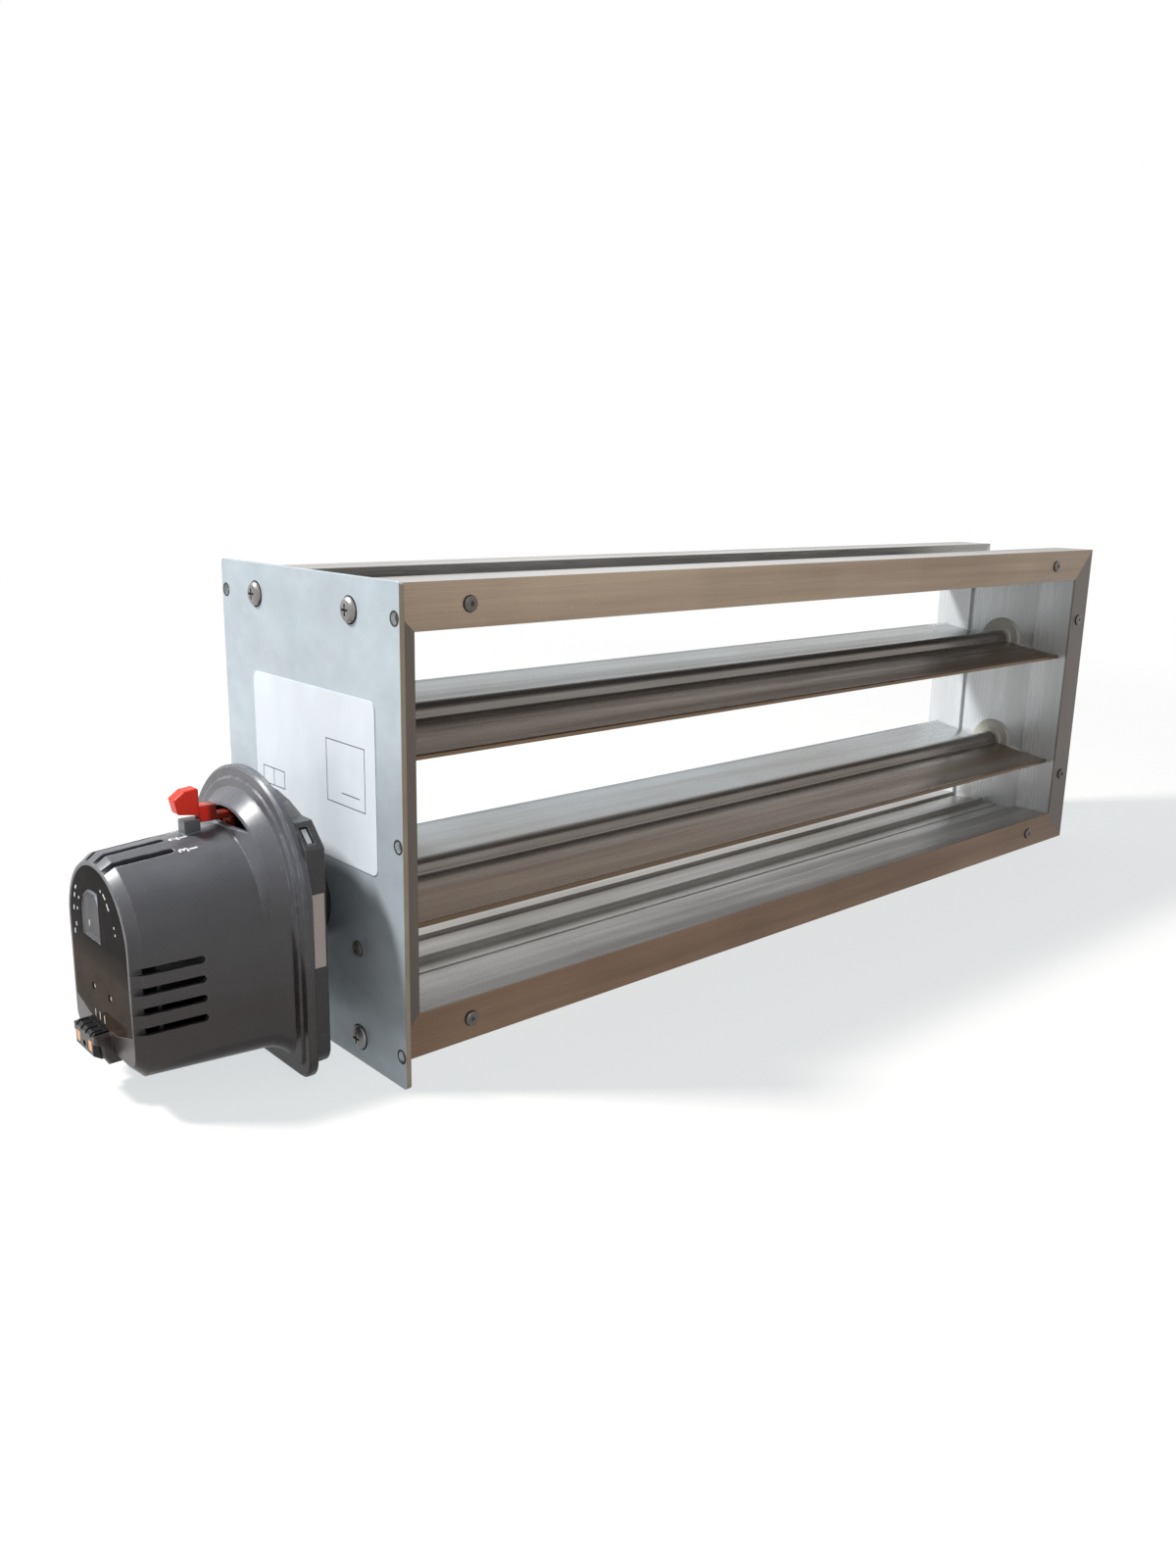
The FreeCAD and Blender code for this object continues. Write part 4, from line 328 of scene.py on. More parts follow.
# colour, wear, dust, roughness and bump of one finish, from its dictionary
def makeFinish(name, look):
    material, tree, surface = startMaterial(name, look)
    edge = placeGroup(tree, edgeGroup, {"Radius": look["edgeRadius"], "Amount": look["wear"]})
    handling = placeGroup(tree, handlingGroup, {"Dust": look["dust"], "Marks": look["marks"],
                                                "Stretch": look["smearStretch"]})
    if "drawn" in look:
        grain = placeGroup(tree, drawnGroup, {"Stretch": look["drawn"], "Scale": look["grainScale"]})
        fine, slow = grain["Streak"], grain["ToneAndReflectionBand"]
    else:
        grain = placeGroup(tree, mouldedGroup, {"Scale": look["grainScale"]})
        fine, slow = grain["Grain"], grain["Wave"]
    color = addBlend(tree, slow, look["color"], look["second"])
    color = addBlend(tree, addMath(tree, "MULTIPLY", fine, look["fleck"]), color, look["fleckColor"])
    if "zinc" in look:
        zinc = placeGroup(tree, zincGroup, {"Scale": look["zinc"]})
        crystal = addMath(tree, "MULTIPLY", zinc["Crystal"], look["zincShare"])
        color = addBlend(tree, crystal, color, look["zincColor"])
        cloud = addRange(tree, zinc["Cloud"], *look["zincClouds"], 0.0, look["zincShare"])
        color = addBlend(tree, cloud, color, look["second"])
    color = addBlend(tree, handling["Smear"], color, look["smearColor"])
    bareAndSheen = addMath(tree, "MAXIMUM", edge["WearAndSheen"], handling["Scratch"])
    color = addBlend(tree, bareAndSheen, color, look["wearColor"])
    color = addBlend(tree, handling["Dust"], color, look["dustColor"])
    rough = addRange(tree, fine, 0.0, 1.0, *look["roughness"])
    for axis, start, stop, tint in look.get("tints", []):
        place = splitVector(tree, objectPlace(tree))
        color = addBlend(tree, addRange(tree, place[axis], start, stop), color, tint, "MULTIPLY")
    # painted shade in the channel: darker between its walls and above its foot, and also rougher there
    if "channel" in look:
        place = splitVector(tree, objectPlace(tree))
        inside = addRange(tree, addMath(tree, "ABSOLUTE", place["Y"]), *look["channel"])
        above = addRange(tree, place["Z"], *look["channelFoot"])
        channelShade = addMath(tree, "MULTIPLY", inside, above)
        color = addBlend(tree, channelShade, color, look["channelShadeColor"])
        rough = addMath(tree, "MAXIMUM", rough, addMath(tree, "MULTIPLY", channelShade, look["channelRough"]))
    rough = addMath(tree, "ADD", rough, addMath(tree, "MULTIPLY", handling["Smear"], look["smearRough"]))
    rough = addMath(tree, "ADD", rough, addMath(tree, "MULTIPLY", handling["Dust"], look["dustRough"]))
    linkNodes(tree, (color, surface.inputs["Base Color"]), (rough, surface.inputs["Roughness"]))
    addBump(tree, surface, grain["Height"], edge["Normal"], look["bump"], look["bumpDepth"])
    return material


plainLook = {        # what a finish has unless its own dictionary says otherwise
    "metallic": 0.0, "edgeRadius": 0.0004, "wear": 0.3, "wearColor": (0.6, 0.6, 0.58),
    "dust": 0.12, "dustColor": (0.55, 0.52, 0.48), "marks": 0.15, "smearColor": (0.4, 0.4, 0.4),
    "smearRough": 0.35, "dustRough": 0.4, "grainScale": 2200.0, "fleck": 0.25, "roughness": (0.35, 0.5),
    "bump": 0.25, "bumpDepth": 0.0001, "smearStretch": (0.6, 1.0, 1.7), "zincClouds": (0.4, 0.65),
}
lengthways = (0.012, 1.0, 1.0)
upright = (1.0, 1.0, 0.012)
# where the painted shade and brown reflection on a front edge start and are full, along the airflow
frontShade = ("Y", frontFace + 1.5 * mm, frontFace + 0.2 * mm)
plateEdge = ("Y", plateLow.y + 0.5 * mm, plateLow.y + 0.2 * mm)
# the cover's plastic; its pale bluish edges are worn plastic and painted highlight
housingLook = {
    "color": (0.104, 0.11, 0.128), "second": (0.086, 0.09, 0.103), "fleckColor": (0.14, 0.146, 0.165),
    "fleck": 0.3, "wear": 1.0, "wearColor": (0.46, 0.49, 0.54), "smearColor": (0.066, 0.062, 0.06),
    "marks": 0.4, "dust": 0.18, "dustColor": (0.24, 0.235, 0.23), "roughness": (0.18, 0.3),
    "edgeRadius": 0.0008, "grainScale": 2600.0, "bump": 0.08, "specular": 0.45,
}
# the frame's aluminium; its pale edges are worn metal and painted highlight
railLook = {
    "metallic": 0.6, "color": (0.46, 0.45, 0.435), "second": (0.34, 0.325, 0.305),
    "fleckColor": (0.56, 0.55, 0.53), "fleck": 0.5, "drawn": lengthways, "grainScale": 2300.0,
    "roughness": (0.18, 0.36), "wear": 0.6, "wearColor": (0.72, 0.69, 0.65),
    "smearColor": (0.2, 0.18, 0.16), "marks": 0.5, "dust": 0.03, "bump": 0.06, "edgeRadius": 0.0003,
    "smearStretch": (0.05, 1.6, 1.6),
}
finishes = {        # a tint is its axis, where it starts, where it is full, and its colour
    "topRail": {        # the rail's metal, with painted shade and brown reflection on the front, and painted shade in the channel along the top
        **railLook, "tints": [(*frontShade, (0.92, 0.72, 0.55))], "channel": (23.7 * mm, 23.3 * mm),
        "channelFoot": (170 * mm, 172 * mm), "channelShadeColor": (0.012, 0.01, 0.0075), "channelRough": 0.85,
    },
    "frameRail": {**railLook, "tints": [(*frontShade, (0.6, 0.39, 0.265))]},
    # the rail metal made paler and bluer: painted light on the sunlit jambs, with painted shade and brown reflection on
    # their front
    "sunlitJamb": {
        **railLook, "metallic": 0.3, "color": (0.78, 0.83, 0.86), "second": (0.64, 0.68, 0.7),
        "fleckColor": (0.9, 0.92, 0.93), "drawn": upright, "smearColor": (0.5, 0.5, 0.5), "marks": 0.35,
        "smearStretch": (1.6, 1.6, 0.06), "tints": [(*frontShade, (0.22, 0.17, 0.135))],
    },
    "blade": {        # painted shade and brown reflection on the half that faces the front
        **railLook, "color": (0.28, 0.315, 0.335), "second": (0.215, 0.225, 0.23),
        "fleckColor": (0.5, 0.51, 0.51), "roughness": (0.13, 0.28),
        "tints": [("Y", 12 * mm, -20 * mm, (0.56, 0.34, 0.2))],
    },
    "key": {
        "metallic": 0.6, "color": (0.4, 0.4, 0.4), "second": (0.34, 0.34, 0.34),
        "fleckColor": (0.5, 0.5, 0.5), "roughness": (0.4, 0.6),
    },
    "plate": {
        "metallic": 0.3, "color": (0.53, 0.615, 0.67), "second": (0.45, 0.53, 0.58),
        "fleckColor": (0.64, 0.72, 0.77), "fleck": 0.3, "grainScale": 1500.0, "zinc": 70.0,
        "zincShare": 0.14, "zincColor": (0.64, 0.71, 0.77), "roughness": (0.3, 0.46), "wear": 0.7,
        "wearColor": (0.46, 0.36, 0.26), "smearColor": (0.4, 0.43, 0.45), "marks": 0.34, "dust": 0.05,
        "bump": 0.12, "tints": [(*plateEdge, (0.62, 0.45, 0.32))],
    },
    "fastener": {
        "metallic": 0.8, "color": (0.24, 0.235, 0.23), "second": (0.17, 0.165, 0.16),
        "fleckColor": (0.36, 0.35, 0.34), "roughness": (0.25, 0.45), "wear": 0.8,
        "wearColor": (0.75, 0.74, 0.72), "edgeRadius": 0.0002, "marks": 0.3,
    },
    "rivet": {
        "metallic": 0.6, "color": (0.2, 0.185, 0.17), "second": (0.12, 0.11, 0.1),
        "fleckColor": (0.3, 0.29, 0.28), "roughness": (0.25, 0.42), "wear": 0.9,
        "wearColor": (0.66, 0.64, 0.62), "edgeRadius": 0.0003, "marks": 0.5,
        "smearColor": (0.06, 0.05, 0.045),
    },
    # dark rings round heads and holes: grime, and painted shadow round the heads
    "grimeAndShade": {
        "color": (0.035, 0.03, 0.026), "second": (0.06, 0.05, 0.043), "fleckColor": (0.1, 0.09, 0.08),
        "wear": 0.1, "wearColor": (0.1, 0.09, 0.08), "smearColor": (0.05, 0.04, 0.035),
        "roughness": (0.5, 0.7), "specular": 0.2,
    },
    "tab": {
        "metallic": 0.3, "color": (0.55, 0.56, 0.57), "second": (0.4, 0.41, 0.42),
        "fleckColor": (0.65, 0.66, 0.67), "roughness": (0.25, 0.4), "wear": 0.9,
        "wearColor": (0.85, 0.86, 0.87),
    },
    "shaft": {
        "metallic": 0.85, "color": (0.45, 0.45, 0.45), "second": (0.36, 0.36, 0.36),
        "fleckColor": (0.58, 0.58, 0.58), "drawn": (1.0, 0.05, 0.05), "grainScale": 1800.0,
        "roughness": (0.25, 0.42), "marks": 0.25,
    },
    "linkage": {
        "metallic": 0.7, "color": (0.48, 0.49, 0.5), "second": (0.4, 0.41, 0.42),
        "fleckColor": (0.6, 0.61, 0.62), "roughness": (0.32, 0.5), "zinc": 160.0, "zincShare": 0.2,
        "zincColor": (0.58, 0.6, 0.62), "marks": 0.3,
    },
    "bearing": {
        "color": (0.6, 0.6, 0.54), "second": (0.54, 0.535, 0.475), "fleckColor": (0.68, 0.68, 0.62),
        "wearColor": (0.76, 0.76, 0.7), "wear": 0.3, "smearColor": (0.38, 0.355, 0.3), "marks": 0.22,
        "roughness": (0.4, 0.54),
    },
    # the cover, with painted shade and brown reflection: darker and browner towards the bottom
    "housing": {**housingLook, "tints": [("Z", 90 * mm, 36 * mm, (0.3, 0.22, 0.18))]},
    # a darker copy of the cover's plastic: painted shade on the base
    "shadedBaseTray": {
        **housingLook, "color": (0.04, 0.0395, 0.04), "second": (0.033, 0.032, 0.032), "wear": 0.5,
        "specular": 0.3,
    },
    "collar": {
        "color": (0.009, 0.009, 0.009), "second": (0.006, 0.006, 0.006), "fleckColor": (0.02, 0.02, 0.02),
        "wear": 0.6, "wearColor": (0.12, 0.12, 0.125), "smearColor": (0.02, 0.019, 0.018),
        "roughness": (0.3, 0.44), "dustColor": (0.14, 0.135, 0.13), "specular": 0.3,
    },
    "terminal": {
        "color": (0.008, 0.008, 0.009), "second": (0.005, 0.005, 0.006), "fleckColor": (0.02, 0.02, 0.022),
        "wearColor": (0.2, 0.2, 0.2), "wear": 0.8, "smearColor": (0.02, 0.02, 0.02),
        "roughness": (0.22, 0.36), "edgeRadius": 0.00025, "dustColor": (0.2, 0.2, 0.2), "dust": 0.05,
        "specular": 0.35,
    },
    "dial": {
        "color": (0.012, 0.011, 0.011), "second": (0.009, 0.009, 0.009), "fleckColor": (0.02, 0.02, 0.02),
        "wearColor": (0.04, 0.04, 0.04), "smearColor": (0.02, 0.02, 0.02), "roughness": (0.4, 0.55),
    },
    "dialMark": {
        "color": (0.6, 0.7, 0.82), "second": (0.52, 0.62, 0.74), "fleckColor": (0.66, 0.74, 0.84),
        "smearColor": (0.4, 0.47, 0.55), "roughness": (0.4, 0.55), "marks": 0.25,
    },
    # near black: painted shade on the board, which sits in the dark inside the cover
    "board": {
        "color": (0.006, 0.012, 0.009), "second": (0.004, 0.009, 0.007), "fleckColor": (0.012, 0.02, 0.015),
        "wearColor": (0.02, 0.03, 0.02), "smearColor": (0.01, 0.012, 0.01), "roughness": (0.35, 0.5),
        "dust": 0.02,
    },
    "light": {
        "color": (0.4, 0.4, 0.38), "second": (0.34, 0.34, 0.32), "fleckColor": (0.5, 0.5, 0.48),
        "roughness": (0.08, 0.16), "fleck": 0.1, "bump": 0.05, "coat": 0.5,
    },
    "release": {
        "color": (0.82, 0.4, 0.17), "second": (0.74, 0.33, 0.13), "fleckColor": (0.88, 0.5, 0.26),
        "wearColor": (0.9, 0.62, 0.42), "smearColor": (0.5, 0.24, 0.12), "roughness": (0.3, 0.42),
        "coat": 0.15,
    },
    "lever": {        # painted shade towards the rear, where it reaches under the cover
        "color": (1.0, 0.045, 0.018), "second": (0.98, 0.03, 0.012), "fleckColor": (1.0, 0.07, 0.035),
        "fleck": 0.15, "wearColor": (0.9, 0.1, 0.07), "wear": 0.5, "smearColor": (0.5, 0.012, 0.01),
        "roughness": (0.24, 0.36), "dust": 0.01, "bump": 0.08, "edgeRadius": 0.0012, "specular": 0.25,
        "marks": 0.1, "tints": [("X", plateLow.x - 45 * mm, plateLow.x - 43 * mm, (0.25, 0.5, 0.6))],
    },
    "gear": {
        "color": (0.5, 0.49, 0.44), "second": (0.45, 0.44, 0.39), "fleckColor": (0.56, 0.55, 0.5),
        "smearColor": (0.3, 0.28, 0.24), "roughness": (0.38, 0.5), "marks": 0.3,
    },
    "motor": {
        "metallic": 0.75, "color": (0.42, 0.42, 0.42), "second": (0.36, 0.36, 0.36),
        "fleckColor": (0.5, 0.5, 0.5), "drawn": (1.0, 0.05, 0.05), "roughness": (0.3, 0.45),
    },
    "switch": {
        "color": (0.02, 0.02, 0.02), "second": (0.015, 0.015, 0.015), "fleckColor": (0.04, 0.04, 0.04),
        "wearColor": (0.1, 0.1, 0.1), "smearColor": (0.03, 0.03, 0.03),
    },
    "ink": {
        "color": (0.9, 0.91, 0.92), "second": (0.84, 0.85, 0.86), "fleckColor": (0.7, 0.7, 0.7),
        "fleck": 0.1, "smearColor": (0.5, 0.5, 0.5), "roughness": (0.45, 0.6), "dust": 0.03, "bump": 0.05,
    },
    "darkInk": {
        "color": (0.06, 0.06, 0.07), "second": (0.09, 0.09, 0.1), "fleckColor": (0.2, 0.2, 0.2),
        "fleck": 0.2, "smearColor": (0.15, 0.15, 0.15), "roughness": (0.45, 0.6), "dust": 0.03,
        "bump": 0.05,
    },
}
materials = {}
for finishName, look in finishes.items():
    materials[finishName] = makeFinish(finishName, {**plainLook, **look})


# printed white film, with soft folds where it was rubbed on
filmLook = {
    "foldStretch": (1.0, 1.0, 0.45), "bareColor": (0.45, 0.46, 0.47), "dust": 0.05, "marks": 0.35,
    "edgeRadius": 0.0003, "wear": 0.5, "bump": 0.55, "bumpDepth": 0.0012, "foldNoise": (3.0, 0.45),
    "shaded": (0.42, 0.62), "smeared": (0.0, 0.3),
}
labelFilm = {
    **filmLook, "color": (0.82, 0.89, 0.94), "shade": (0.72, 0.78, 0.83), "folds": 26.0,
    "roughness": (0.28, 0.42),
}
stickerFilm = {
    **filmLook, "color": (0.62, 0.55, 0.5), "shade": (0.5, 0.44, 0.4), "folds": 40.0,
    "roughness": (0.35, 0.5),
}


def makeFilm(name, look):
    material, tree, surface = startMaterial(name, look)
    place = addStretch(tree, objectPlace(tree), look["foldStretch"])
    folds = addNoise(tree, place, look["folds"], *look["foldNoise"])
    handling = placeGroup(tree, handlingGroup, {"Dust": look["dust"], "Marks": look["marks"]})
    edge = placeGroup(tree, edgeGroup, {"Radius": look["edgeRadius"], "Amount": look["wear"]})
    color = addBlend(tree, addRange(tree, folds, *look["shaded"]), look["color"], look["shade"])
    bareAndSheen = addMath(tree, "MAXIMUM", edge["WearAndSheen"], handling["Scratch"])
    color = addBlend(tree, bareAndSheen, color, look["bareColor"])
    rough = addRange(tree, handling["Smear"], *look["smeared"], *look["roughness"])
    linkNodes(tree, (color, surface.inputs["Base Color"]), (rough, surface.inputs["Roughness"]))
    addBump(tree, surface, folds, edge["Normal"], look["bump"], look["bumpDepth"])
    return material


# glossy black front panel with fine hairline marks
panelLook = {
    # the colour and heights of a painted brown reflection that lightens the panel towards its bottom
    "ior": 1.05, "color": (0.006, 0.0055, 0.006), "reflectionColor": (0.05, 0.036, 0.026),
    "reflectionHeights": (62 * mm, 50 * mm), "smearColor": (0.018, 0.014, 0.011), "dustColor": (0.3, 0.28, 0.26),
    "roughness": (0.04, 0.12), "handling": {"Dust": 0.12, "Marks": 0.5, "Scale": 90.0},
    "edge": {"Radius": 0.0004, "Amount": 0.3}, "smeared": (0.0, 0.5),
}


def makePanelGloss(look):
    material, tree, surface = startMaterial("panelGloss", look)
    handling = placeGroup(tree, handlingGroup, look["handling"])
    edge = placeGroup(tree, edgeGroup, look["edge"])
    height = splitVector(tree, objectPlace(tree))["Z"]
    # painted brown reflection: lighter and browner towards the panel's bottom
    color = addBlend(tree, addRange(tree, height, *look["reflectionHeights"]), look["color"], look["reflectionColor"])
    color = addBlend(tree, handling["Smear"], color, look["smearColor"])
    color = addBlend(tree, handling["Dust"], color, look["dustColor"])
    rough = addRange(tree, handling["Smear"], *look["smeared"], *look["roughness"])
    linkNodes(tree, (color, surface.inputs["Base Color"]), (edge["Normal"], surface.inputs["Normal"]),
              (rough, surface.inputs["Roughness"]))
    return material


# clear window over the dial
windowLook = {
    "ior": 1.12, "specular": 0.3, "color": (0.86, 0.9, 0.95), "dustColor": (0.5, 0.5, 0.48),
    "roughness": (0.02, 0.1), "handling": {"Dust": 0.1, "Marks": 0.4, "Scale": 110.0}, "smeared": (0.0, 0.4),
}


def makeWindowClear(look):
    material, tree, surface = startMaterial("windowClear", look)
    surface.inputs["Transmission Weight"].default_value = 1.0
    handling = placeGroup(tree, handlingGroup, look["handling"])
    color = addBlend(tree, handling["Dust"], look["color"], look["dustColor"])
    rough = addRange(tree, handling["Smear"], *look["smeared"], *look["roughness"])
    linkNodes(tree, (color, surface.inputs["Base Color"]), (rough, surface.inputs["Roughness"]))
    return material


materials["labelFilm"] = makeFilm("labelFilm", labelFilm)
materials["stickerFilm"] = makeFilm("stickerFilm", stickerFilm)
materials["panelGloss"] = makePanelGloss(panelLook)
materials["windowClear"] = makeWindowClear(windowLook)
print("materials made:", len(materials))

# which finish each CAD node wears
dressing = {
    "topRail": ["top_rail"], "frameRail": ["bottom_rail", "top_blade_stop", "bottom_blade_stop"],
    "sunlitJamb": ["left_jamb", "right_jamb"], "blade": ["lower_blade", "upper_blade"],
    "key": ["corner_keys"], "plate": ["mounting_plate"], "rivet": ["frame_rivets", "plate_rivets"],
    "fastener": ["plate_screws", "collar_screws", "base_screws", "cover_screws", "lower_crank_screw",
                 "upper_crank_screw", "lower_link_pin", "upper_link_pin", "intermediate_axle",
                 "motor_shaft", "carrier_posts", "board_posts"],
    "shaft": ["lower_drive_shaft", "upper_drive_shaft", "lower_end_pin", "upper_end_pin", "indicator_stem"],
    "linkage": ["lower_crank", "upper_crank", "link_bar", "rear_carrier_plate", "front_carrier_plate"],
    "bearing": ["lower_left_bearing", "upper_left_bearing", "lower_right_bearing", "upper_right_bearing"],
    "labelFilm": ["rating_label"], "stickerFilm": ["base_sticker"], "housing": ["actuator_cover"],
    "shadedBaseTray": ["actuator_base"], "collar": ["actuator_collar"], "terminal": ["terminal_block"],
    "panelGloss": ["face_panel"], "windowClear": ["indicator_window"], "dial": ["indicator_dial"],
    "board": ["circuit_board"], "light": ["status_lights"],
    "release": ["terminal_release_left", "terminal_release_right"], "lever": ["range_stop_lever"],
    "gear": ["output_gear", "intermediate_gear", "motor_pinion", "limit_cam"], "motor": ["drive_motor"],
    "switch": ["limit_switches"],
}
for finishName, wearers in dressing.items():
    for nodeName in wearers:
        for materialSlot in nodes[nodeName].material_slots:
            materialSlot.material = materials[finishName]
undressed = sorted(set(nodes) - {nodeName for wearers in dressing.values() for nodeName in wearers})
print("nodes dressed, left over:", undressed)


def addPiece(name, mesh, finish, body):
    mesh.materials.append(materials[finish])
    piece = bpy.data.objects.new(name, mesh)
    bpy.context.scene.collection.objects.link(piece)
    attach(piece, body)


def meshFrom(name, build):
    bm = bmesh.new()
    build(bm)
    bmesh.ops.recalc_face_normals(bm, faces=bm.faces)
    mesh = bpy.data.meshes.new(name)
    bm.to_mesh(mesh)
    bm.free()
    return mesh


def addSlab(bm, outline, depth):
    # a thin closed slab from an outline of points, thickened along the depth vector
    near = [bm.verts.new(point) for point in outline]
    far = [bm.verts.new(Vector(point) + depth) for point in outline]
    bm.faces.new(near)
    bm.faces.new(list(reversed(far)))
    count = len(outline)
    for index in range(count):
        following = (index + 1) % count
        bm.faces.new((near[index], far[index], far[following], near[following]))


# marks printed on the drum beside the vent slots: a number and a short bar for each stop of the lever
drumMarks = {
    "angles": {"3": 22.0, "2": 6.5, "1": -10.0},        # degrees from straight up, towards the front
    "numberPlace": 61.2,        # distance in front of the plate's inner face
    "barPlace": (59.1, 56.0),
    "barWidth": 0.9,
    "numberSize": 5.6,
    "numberStroke": 0.16,
    "numberLift": 0.09,        # so that the flat digits clear the round drum
    "barSink": 0.02,
    "ink": 0.05,
    "arcRise": 2.0,        # the drum's arc is centred this far above the shaft
    "rear": (31.5, 36.0),        # reach and radius at the drum's rear
    "front": (87.5, 31.8),
}


def onDrum(reach, angle, lift):
    # a point on the drum's upper side, given in mm, and the directions around and out of the drum
    (rear, rearRadius), (front, frontRadius) = drumMarks["rear"], drumMarks["front"]
    share = (reach - rear) / (front - rear)
    radius = rearRadius + (frontRadius - rearRadius) * share + lift
    turn = math.radians(angle)
    out = Vector((0, -math.sin(turn), math.cos(turn)))
    around = Vector((0, math.cos(turn), math.sin(turn)))
    centre = Vector((plateHigh.x - reach * mm, shaftLine.y, shaftLine.z + drumMarks["arcRise"] * mm))
    return centre + out * radius * mm, around, out


def makeDrumBars(marks):
    def build(bm):
        for angle in marks["angles"].values():
            start, around, out = onDrum(marks["barPlace"][0], angle, -marks["barSink"])
            stop = onDrum(marks["barPlace"][1], angle, -marks["barSink"])[0]
            half = around * marks["barWidth"] / 2 * mm
            addSlab(bm, [start - half, stop - half, stop + half, start + half], out * marks["ink"] * mm)
    addPiece("drumBars", meshFrom("drumBars", build), "ink", "frame")


def makeDrumNumbers(marks):
    for digit, angle in marks["angles"].items():
        words = bpy.data.curves.new("number" + digit, "FONT")
        words.body = digit
        words.size = marks["numberSize"] * mm
        words.align_x = "CENTER"
        words.align_y = "CENTER"
        words.extrude = marks["ink"] / 2 * mm
        words.offset = marks["numberStroke"] * mm
        words.materials.append(materials["ink"])
        spot, around, out = onDrum(marks["numberPlace"], angle, marks["numberLift"])
        turn = Matrix((around, Vector((-1, 0, 0)), out)).transposed()
        piece = bpy.data.objects.new("drumNumber" + digit, words)
        piece.matrix_world = Matrix.Translation(spot) @ turn.to_4x4()
        bpy.context.scene.collection.objects.link(piece)
        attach(piece, "frame")


makeDrumBars(drumMarks)
makeDrumNumbers(drumMarks)
print("drum marks printed")


# white marks on the front panel: dots and dashes round the window, and a bar over each terminal
panelMarks = {
    "marks": [        # place across the depth, height, tilt in degrees from upright and length, in mm
        (43.5, 84.2, 60, 0.9), (40.2, 82.9, 50, 2.6), (37.4, 79.6, 38, 3.0), (32.6, 72.9, 20, 0.9),
        (31.9, 70.3, 15, 0.9), (69.4, 79.2, -40, 2.0), (66.8, 75.6, -40, 1.2), (71.2, 75.6, -25, 2.0),
        (69.2, 70.6, -20, 1.2), (72.8, 70.0, -12, 2.0), (71.6, 63.6, 0, 1.6), (73.6, 60.2, 0, 2.0),
    ],
    "markWidth": 0.9,
    "terminalBars": (58.2, 53.8, 49.3),        # places across the depth, in mm from the frame's front
    "terminalBarFoot": 29.4,
    "terminalBarHeight": 3.2,
    "terminalBarWidth": 0.6,
    "ink": 0.06,
}


def onPanel(y, z):
    # y is measured from the frame's front and z from its bottom, in mm
    return Vector((panelFace, frontFace + y * mm, z * mm))


def addPanelBar(bm, start, stop, width, ink):
    first, last = onPanel(*start), onPanel(*stop)
    across = (last - first).cross(Vector((1, 0, 0))).normalized() * width / 2 * mm
    addSlab(bm, [first - across, last - across, last + across, first + across], Vector((-ink * mm, 0, 0)))


def makePanelMarks(marks):
    def build(bm):
        for y, z, tilt, length in marks["marks"]:
            lean = math.radians(tilt)
            reach = (math.sin(lean) * length / 2, math.cos(lean) * length / 2)
            start, stop = (y - reach[0], z - reach[1]), (y + reach[0], z + reach[1])
            addPanelBar(bm, start, stop, marks["markWidth"], marks["ink"])
        foot, top = marks["terminalBarFoot"], marks["terminalBarFoot"] + marks["terminalBarHeight"]
        for y in marks["terminalBars"]:
            addPanelBar(bm, (y, foot), (y, top), marks["terminalBarWidth"], marks["ink"])
    addPiece("panelMarks", meshFrom("panelMarks", build), "ink", "frame")


makePanelMarks(panelMarks)
print("panel marks printed")


# the pale sector on the dial that turns with the blades
dialSector = {"inner": 5.0, "outer": 17.6, "span": (-4.0, 34.0), "steps": 10, "gauge": 0.3, "reach": 87.25}


def makeDialSector(look):
    def build(bm):
        (first, last), steps = look["span"], look["steps"]
        turns = [math.radians(first + (last - first) * index / steps) for index in range(steps + 1)]
        centre = Vector((plateHigh.x - look["reach"] * mm, shaftLine.y, shaftLine.z))
        spokes = [Vector((0, math.sin(turn), math.cos(turn))) * mm for turn in turns]
        outer, inner = [[centre + spoke * look[rim] for spoke in spokes] for rim in ("outer", "inner")]
        addSlab(bm, outer + list(reversed(inner)), Vector((-look["gauge"] * mm, 0, 0)))
    addPiece("dialSector", meshFrom("dialSector", build), "dialMark", "lower_blade_assembly")


makeDialSector(dialSector)
print("dial sector made")


# ruled boxes on the label, with no lettering in them
labelRules = {        # each box is its left, bottom, width and height in mm
    "line": 0.4,
    "ink": 0.03,
    "boxes": [(32.2, 107.6, 28.4, 25.4), (86.2, 104.5, 18.4, 7.5)],
    "strokes": [((77.0, 104.6), (77.0, 112.0)), ((21.0, 112.4), (7.8, 112.4))],
}


def makeLabelRules(rules):
    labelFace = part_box("rating_label")[0].x

    def onLabel(place):
        return Vector((labelFace, frontFace + place[0] * mm, place[1] * mm))

    def build(bm):
        half = rules["line"] / 2 * mm
        strokes = list(rules["strokes"])
        for left, bottom, width, height in rules["boxes"]:
            corners = [(left, bottom), (left - width, bottom), (left - width, bottom + height),
                       (left, bottom + height)]
            strokes += zip(corners, corners[1:] + corners[:1])
        for stroke in strokes:
            first, last = onLabel(stroke[0]), onLabel(stroke[1])
            along = (last - first).normalized()
            across = along.cross(Vector((1, 0, 0))) * half
            first, last = first - along * half, last + along * half
            addSlab(bm, [first - across, last - across, last + across, first + across],
                    Vector((-rules["ink"] * mm, 0, 0)))
    addPiece("labelRules", meshFrom("labelRules", build), "darkInk", "frame")


makeLabelRules(labelRules)
print("label ruled")


# rings of grime and painted shadow round the heads of the rivets and screws
headRings = {        # node, axis of its heads, ring width and gauge in mm
    "frameRivetRings": ("frame_rivets", 1, 0.3, 0.05),
    "plateRivetRings": ("plate_rivets", 0, 0.3, 0.05),
    "plateScrewRings": ("plate_screws", 0, 0.45, 0.05),
}
ringTuck = 0.1        # how far a ring reaches under its head, in mm


